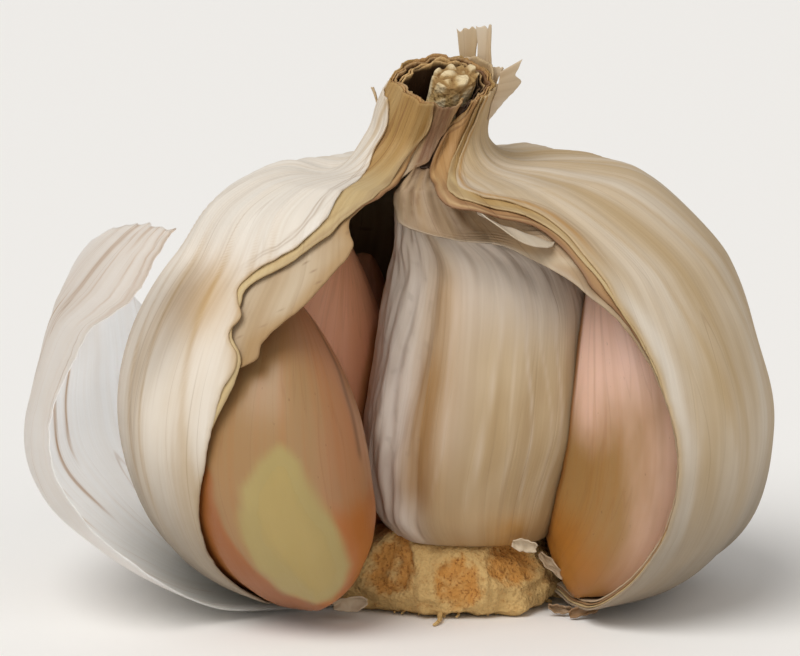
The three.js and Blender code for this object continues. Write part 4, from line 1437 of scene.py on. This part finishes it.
def plate_place(along, around):
    """A point of the plate, with scars, ridges and grit on its flank."""
    radius, height = along_profile(PLATE_PROFILE, along)
    azimuth = math.degrees(around)
    out, scar, shade = 0.0, 0.0, 0.0
    if height > 0.1:
        for facing, middle, wide, tall, depth in SCARS:
            across, up = turn(azimuth, facing) / wide, (height - middle) / tall
            away = math.hypot(across, up) + 0.16 * grain(azimuth * 0.25, height * 1.3, 58)
            out += 0.4 * hump((away - 1.08) / 0.22) - depth * hump(away**3)
            scar += hump(away**3) * (1 - (0.7 * hump(away / 0.35) if facing < 0 else 0))
        for facing, height_out, wide in PLATE_RIDGES:
            lean = facing + 2.5 * grain(height * 0.7, facing, 59)
            out += height_out * hump(turn(azimuth, lean) / wide) * step(5.4 - height, 0, 1.5)
        out += 2 * hump((azimuth - 34) / 9) * hump(height / 1.4)
        out += 1.7 * hump((azimuth + 60) / 20) * step(6.5 - height, 0, 3)
        out += 0.34 * grain(azimuth * 0.12, height * 0.8, 51)
        out += 0.2 * grain(azimuth * 0.4, height * 2.2, 53)
        out += 0.12 * grain(azimuth * 1.1, height * 5, 55)
        shade = 0.5 * step(grain(azimuth * 0.2, height * 1.1, 50), 0.3, 0.6)
    radius = max(0.0, radius + (out if radius > 1 else 0))
    corner = 1.1 * hump((azimuth + 42) / 16) * step(height, 3, 6.4) * step(radius, 4, 7)
    lift = corner + (0.25 * grain(azimuth * 0.12, radius * 0.8, 57) if height > 5 else 0.0)
    rim = 0.5 * max(0, grain(azimuth * 0.11, 0, 56)) * step(1.4 - height, 0, 1.2)
    rim = rim * step(radius, 6, 9)
    top = height + lift + rim
    spot = Vector((PLATE_X + radius * math.sin(around), -radius * math.cos(around), top))
    return spot, (azimuth, height), {"scar": 0.75 * scar + 0.12, "shade": 0.3 * shade}


print("scars:", len(SCARS), "- ridges:", len(PLATE_RIDGES))

# %% Roots
ROOT_COUNT = 34
# Roots start this far from the axis and at this height, inside the plate, and thin to this share.
ROOT_START = 8.0
ROOT_HIGH = 0.9
ROOT_DROOP = 0.7
ROOT_TIP = 0.35
LOWEST = 0.08
roots_random = random.Random(5)


def add_root(build, azimuth, length, curl, width):
    """A short dry root: a thin cone, bent, with its thick end inside the plate."""
    tip = width * ROOT_TIP
    bmesh.ops.create_cone(build, segments=7, radius1=width, radius2=tip, depth=1.0, cap_ends=True)
    new = [vert for vert in build.verts if not vert.tag]
    edges = dict.fromkeys(edge for vert in new for edge in vert.link_edges)
    long_edges = [edge for edge in edges if abs(edge.verts[0].co.z - edge.verts[1].co.z) > 0.5]
    bmesh.ops.subdivide_edges(build, edges=long_edges, cuts=9)
    a = math.radians(azimuth)
    for vert in build.verts:
        if vert.tag:
            continue
        along = vert.co.z + 0.5
        reach = ROOT_START + (length + 1.4) * along
        side = curl * along**2 + 0.3 * curl * math.sin(5 * along) + vert.co.x
        x = PLATE_X + reach * math.sin(a) + side * math.cos(a)
        y = -reach * math.cos(a) + side * math.sin(a)
        vert.co = Vector((x, y, max(ROOT_HIGH - ROOT_DROOP * along + vert.co.y, LOWEST)))
        vert.tag = True


plate_build = ball(240, 110, plate_place)
for vert in plate_build.verts:
    vert.tag = True
for index in range(ROOT_COUNT):
    azimuth = 360 / ROOT_COUNT * (index + 0.6 * (roots_random.random() - 0.5)) - 8
    front = 0.35 if abs(turn(azimuth, 0)) < 60 else 1.0
    length = 2.4 * (0.1 + 0.9 * roots_random.random()) * front
    curl = 1.6 * (roots_random.random() - 0.5)
    add_root(plate_build, azimuth, length, curl, 0.22 + 0.2 * roots_random.random())
add_root(plate_build, -4, 4.0, -1.4, 0.4)
add_piece(plate_build, "basal_plate_with_roots", plate_finish, "basal_plate")

# %% [markdown]
# ### Scraps of skin left on the plate
#
# A few shreds of dry skin stayed stuck to the plate when the front cloves came out. They are small
# sheets, pointed at both ends and curled, and lie just off the plate's flank.

# %% Scraps of skin
# Scraps: middle, length, width, tilt in degrees as seen from the front, darkness.
SCRAPS = [
    ((7.2, -10.4, 7.1), 2.3, 1.1, -12, 0.0), ((-9.0, -10.7, 1.6), 3.2, 1.3, 8, 0.2),
    ((9.8, -9.4, 5.0), 3.2, 0.8, -48, 0.7), ((13.0, -10.4, 1.1), 3.4, 1.0, 20, 1.6),
    ((10.6, -9.2, 0.8), 2.2, 0.7, -8, 1.2),
]


def make_scrap(index, middle, length, width, tilt, dark):
    """One scrap, tilted as seen from the front."""
    t = math.radians(tilt)

    def place(across, up):
        lengthwise = (across - 0.5) * length
        narrow = width * (1 - 0.6 * abs(2 * across - 1) ** 2)
        crosswise = (up - 0.5) * narrow + 0.2 * grain(across * 5, up * 2, 87 + index)
        x = lengthwise * math.cos(t) - crosswise * math.sin(t)
        z = lengthwise * math.sin(t) + crosswise * math.cos(t)
        curl = 0.35 * (2 * up - 1) ** 2 + 0.25 * grain(across * 4, up * 3, 88 + index)
        point = Vector(middle) + Vector((x, -curl, z))
        return point, (lengthwise, crosswise), {"age": 0.5 * dark, "shade": 0.4 * dark}

    name = f"basal_plate_scrap_{index + 1}"
    add_piece(sheet(24, 12, place), name, inner_paper, "basal_plate", wall=0.12)


for index, scrap in enumerate(SCRAPS):
    make_scrap(index, *scrap)

# %% [markdown]
# ## The cut flower stalk
#
# The stalk stands in the neck. Its cut end is pith that dried into rounded lumps, so the top of the
# ball is pushed up and down by cell-like noise. The crevices between the lumps are painted browner
# and darker, as painted shade.

# %% Stalk
STALK_FOOT = (0.2, 5.2, 6.7)
STALK_TOP = 50.6
STALK_HALF_WIDE = 2.15
STALK_HALF_DEEP = 1.75
STALK_OFFSET = (0.9, 0.1)
STALK_TURN = math.radians(20)
STALK_CAP_FROM = 0.8
PITH_LUMP = 1.45


def stalk_place(along, around):
    """A point of the stalk: an oval stem up to its cap, then the lumpy cut end."""
    rise = clamp(along / STALK_CAP_FROM, 0, 1)
    cap = clamp((along - STALK_CAP_FROM) / (1 - STALK_CAP_FROM), 0, 1)
    height = mix(STALK_FOOT[2], STALK_TOP, rise)
    full = min(1.0, math.sqrt(max(0.0, along) * 40)) * math.sqrt(max(0.0, 1 - cap**2))
    across = full * STALK_HALF_WIDE * math.sin(around)
    deep = -full * STALK_HALF_DEEP * math.cos(around)
    x = across * math.cos(STALK_TURN) - deep * math.sin(STALK_TURN)
    y = across * math.sin(STALK_TURN) + deep * math.cos(STALK_TURN)
    cell = Vector((x / PITH_LUMP + 3.2, y / PITH_LUMP + 7.7, height * 0.28))
    near, second = noise.voronoi(cell)[0][:2]
    crevice = hump((second - near) / 0.22)
    top = step(rise, 0.95, 1.0)
    height += (0.3 * math.sqrt(max(0.0, cap)) + 0.1 * (0.5 - near) - 0.35 * crevice) * top
    swell = 1 + 0.06 * top - 0.1 * crevice * top
    lean = step(height, STALK_FOOT[2], NECK_START)
    foot_x, foot_y = (mix(STALK_FOOT[i], STALK_OFFSET[i], lean) for i in (0, 1))
    point = bend_neck(foot_x + x * swell, foot_y + y * swell, height)
    # Painted shade: the crevices are browner and darker.
    return point, (across, height), {"scar": 0.15 + 0.85 * crevice, "shade": 0.75 * crevice * top}


stalk_build = ball(90, 110, stalk_place)
press(stalk_build, centre_tree, 0.08)
add_piece(stalk_build, "flower_stalk_stub", pith_finish, "flower_stalk")

# %% [markdown]
# ## The loose outer skin
#
# The oldest leaf has torn free and sprung away on the left, held only under the bulb. It is white
# and thin enough to let light through, with a torn front edge, a curled tip and tan veins.

# %% Loose skin
# The skin's profile: share of the way up, distance from the axis and height in mm.
LOOSE_PROFILE = [
    (0, 12.6, 0.2), (0.1, 20, 0.6), (0.18, 25.2, 1.4), (0.26, 30.1, 3.8), (0.34, 34.4, 6.8),
    (0.41, 37.9, 10.1), (0.47, 39.6, 13.2), (0.53, 40.1, 16.6), (0.62, 39.2, 20.8),
    (0.72, 37.6, 26.2), (0.8, 36.4, 29.6), (0.87, 34.4, 33), (0.93, 31.4, 35.8), (1, 27.2, 38),
]
# Its torn edges: share and azimuth of the front and the rear one, share across and up of the top.
LOOSE_FRONT = [
    (0, -58), (0.2, -58), (0.3, -57), (0.35, -57.5), (0.44, -59.5), (0.5, -64), (0.56, -66.3),
    (0.63, -66.8), (0.7, -65.4), (0.75, -63.2), (0.8, -58), (0.84, -54.2), (0.88, -54),
    (0.92, -55.8), (0.95, -58.4), (1, -62),
]
LOOSE_REAR = [(0, -118), (0.2, -134), (0.4, -140), (0.6, -136), (0.8, -126), (1, -112)]
LOOSE_TOP = [(0, 0.97), (0.12, 0.965), (0.3, 0.955), (0.55, 0.9), (0.8, 0.8), (1, 0.62)]
# Brown veins on the inner face: share of the way across, start and end on the way up.
LOOSE_VEINS = [
    (0.3, 0.5, 0.84), (0.37, 0.42, 0.76), (0.41, 0.3, 0.7), (0.47, 0.36, 0.76), (0.56, 0.3, 0.8),
    (0.62, 0.4, 0.8),
]
# The map's scale: the skin's width and length in mm. Its edge is measured in mm of an 80 mm leaf.
LOOSE_WIDTH = 40.0
LOOSE_LENGTH = 75.0
WHOLE_LEAF_WIDTH = 80
loose_radius = through(LOOSE_PROFILE, 1)
loose_height = through(LOOSE_PROFILE, 2)
loose_front, loose_rear, loose_top = through(LOOSE_FRONT), through(LOOSE_REAR), through(LOOSE_TOP)


def loose_place(across, up):
    """A point of the loose skin, from its torn front edge to its rear one."""
    share = up * (loose_top(across) + 0.014 * grain(across * 14, 0, 71) * step(up, 0.9, 1))
    azimuth = mix(loose_front(share), loose_rear(share), across)
    azimuth = azimuth + ragged(share, 73, 0.9) * (1 - across) ** 6
    waves = 0.35 * grain(across * 5, share * 4, 75) + 0.12 * grain(across * 16, share * 9, 77)
    edge = across * WHOLE_LEAF_WIDTH
    curl = 0.5 * hump(edge / 4) * (0.5 + grain(share * 9, 0, 79)) * step(share, 0.3, 0.4)
    radius = loose_radius(share) + (waves - curl) * step(share, 0.1, 0.3)
    a = math.radians(azimuth)
    height = loose_height(share) + 0.12
    point = Vector((radius * math.sin(a), -radius * BELLY_DEPTH * math.cos(a), height))
    veined = 0.25 * step(share, 0.78, 0.94) * (1 - step(across, 0.3, 0.6))
    lines = 0.0
    for place, low, high in LOOSE_VEINS:
        at = place + 0.012 * grain(share * 6, place * 9, 78)
        shown = step(share, low, low + 0.08) * (1 - step(share, high - 0.08, high))
        lines += hump((across - at) / 0.0045) * shown
    streaks = 0.5 * hump(grain(across * 22, share * 3, 74) / 0.12)
    streaks = streaks * step(share, 0.72, 0.84) * (1 - step(across, 0.3, 0.5))
    rim = 0.35 * hump(edge / 1.2) * step(share, 0.75, 0.85)
    return point, (across * LOOSE_WIDTH, share * LOOSE_LENGTH), {
        "age": veined + rim + 0.6 * lines + 0.7 * streaks - 0.3,
        # Painted shade: greyer towards the bottom.
        "blush": 0.3 * step(0.36 - share, 0, 0.2),
        "amber": 0.4 * rim + 0.6 * lines + 0.3 * streaks,
        "shade": 0.1 * lines + 0.1 * streaks,
    }


add_piece(
    sheet(150, 176, loose_place), "loose_outer_skin", loose_paper, "loose_skin",
    wall=0.14, wall_side=1.0,
)

# %% [markdown]
# ## Ribbons at the neck
#
# Where the leaves were cut at the neck, a few ribbons were left standing. Each is a narrow sheet
# that starts on the neck's rim, widens or thins towards its torn end and leans its own way.

# %% Ribbons
# Ribbons: azimuth, width at the root, width at the tip, length, outward lean, sideways lean (mm).
RIBBONS = [
    (146, 1.6, 2.2, 6.0, -0.05, 0.3), (120, 1.7, 1.5, 6.8, -0.04, 0.2),
    (-95, 1.0, 0.3, 1.8, 0.15, 0.0), (100, 1.8, 1.2, 3.6, 0.25, 0.2),
]
RIBBON_ROOT = (0.93, 0.05)
# The azimuth that ribbons of the right side turn to, so that they show their flat side.
RIBBON_FACING = 170
NECK_MAP = 90


def make_ribbon(index, azimuth, wide, wide_tip, length, lean, aside):
    """A strip that leaves the neck's rim and turns its flat side to the front as it rises."""
    a = math.radians(azimuth)
    facing = RIBBON_FACING if azimuth > 0 else azimuth

    def place(across, up):
        narrow = mix(wide, wide_tip, up) * (1 - 0.2 * math.sin(math.pi * up))
        narrow = narrow + 0.25 * grain(up * 3, across, 80 + index)
        tip = length * up * (1 + 0.07 * step(up, 0.7, 1) * grain(across * 4, 0, 90 + index))
        faces = math.radians(mix(azimuth, facing, step(up, 0, 0.6)))
        aside_by = (across - 0.5) * narrow
        out = lean * tip * up + 0.3 * math.cos(math.pi * (across - 0.5)) * up
        point = on_bulb(azimuth, *RIBBON_ROOT)
        point += Vector((aside_by * math.cos(faces), aside_by * math.sin(faces), 0))
        point += Vector((out * math.sin(a) + aside * up, -out * math.cos(a), tip))
        spot = (azimuth * GRAIN_PER_DEGREE + across * 2, NECK_MAP + tip)
        return point, spot, {"age": 0.6 + 0.2 * (1 - up), "amber": 0.3 * (1 - up)}

    name = f"outer_sheath_ribbon_{index + 1}"
    add_piece(sheet(20, 50, place), name, outer_paper, "outer_sheath", wall=0.12)


for index, ribbon in enumerate(RIBBONS):
    make_ribbon(index, *ribbon)

# %% Wing
# How far the wing stands out: share of its width, reach in mm.
WING_REACH = [
    (0, 0.2), (0.2, 0.7), (0.36, 1.2), (0.55, 1.8), (0.7, 2.2), (0.83, 1.5), (0.9, 1.7), (1, 2.1),
]
WING_AZIMUTHS = (74, 92)
WING_SHARES = (0.92, 1.0)
wing_reach = through(WING_REACH)


def wing_place(across, up):
    """A torn flap of leaf that stands out to the right of the neck."""
    share = mix(*WING_SHARES, across)
    base = on_bulb(mix(*WING_AZIMUTHS, across) + 4 * grain(across * 3, 0, 86), share, 0.0)
    reach = (wing_reach(across) + 0.15 * grain(across * 12, 0, 84)) * up
    rise = (0.05 + 0.5 * across**3) * reach
    point = base + Vector((reach, 0.3 * reach + 0.25 * math.sin(5 * across) * up, rise))
    return point, (38 + across * 7, NECK_MAP + reach), {"age": 0.6, "amber": 0.2 * (1 - up)}


add_piece(
    sheet(40, 24, wing_place), "outer_sheath_wing", outer_paper, "outer_sheath",
    wall=0.12,
)
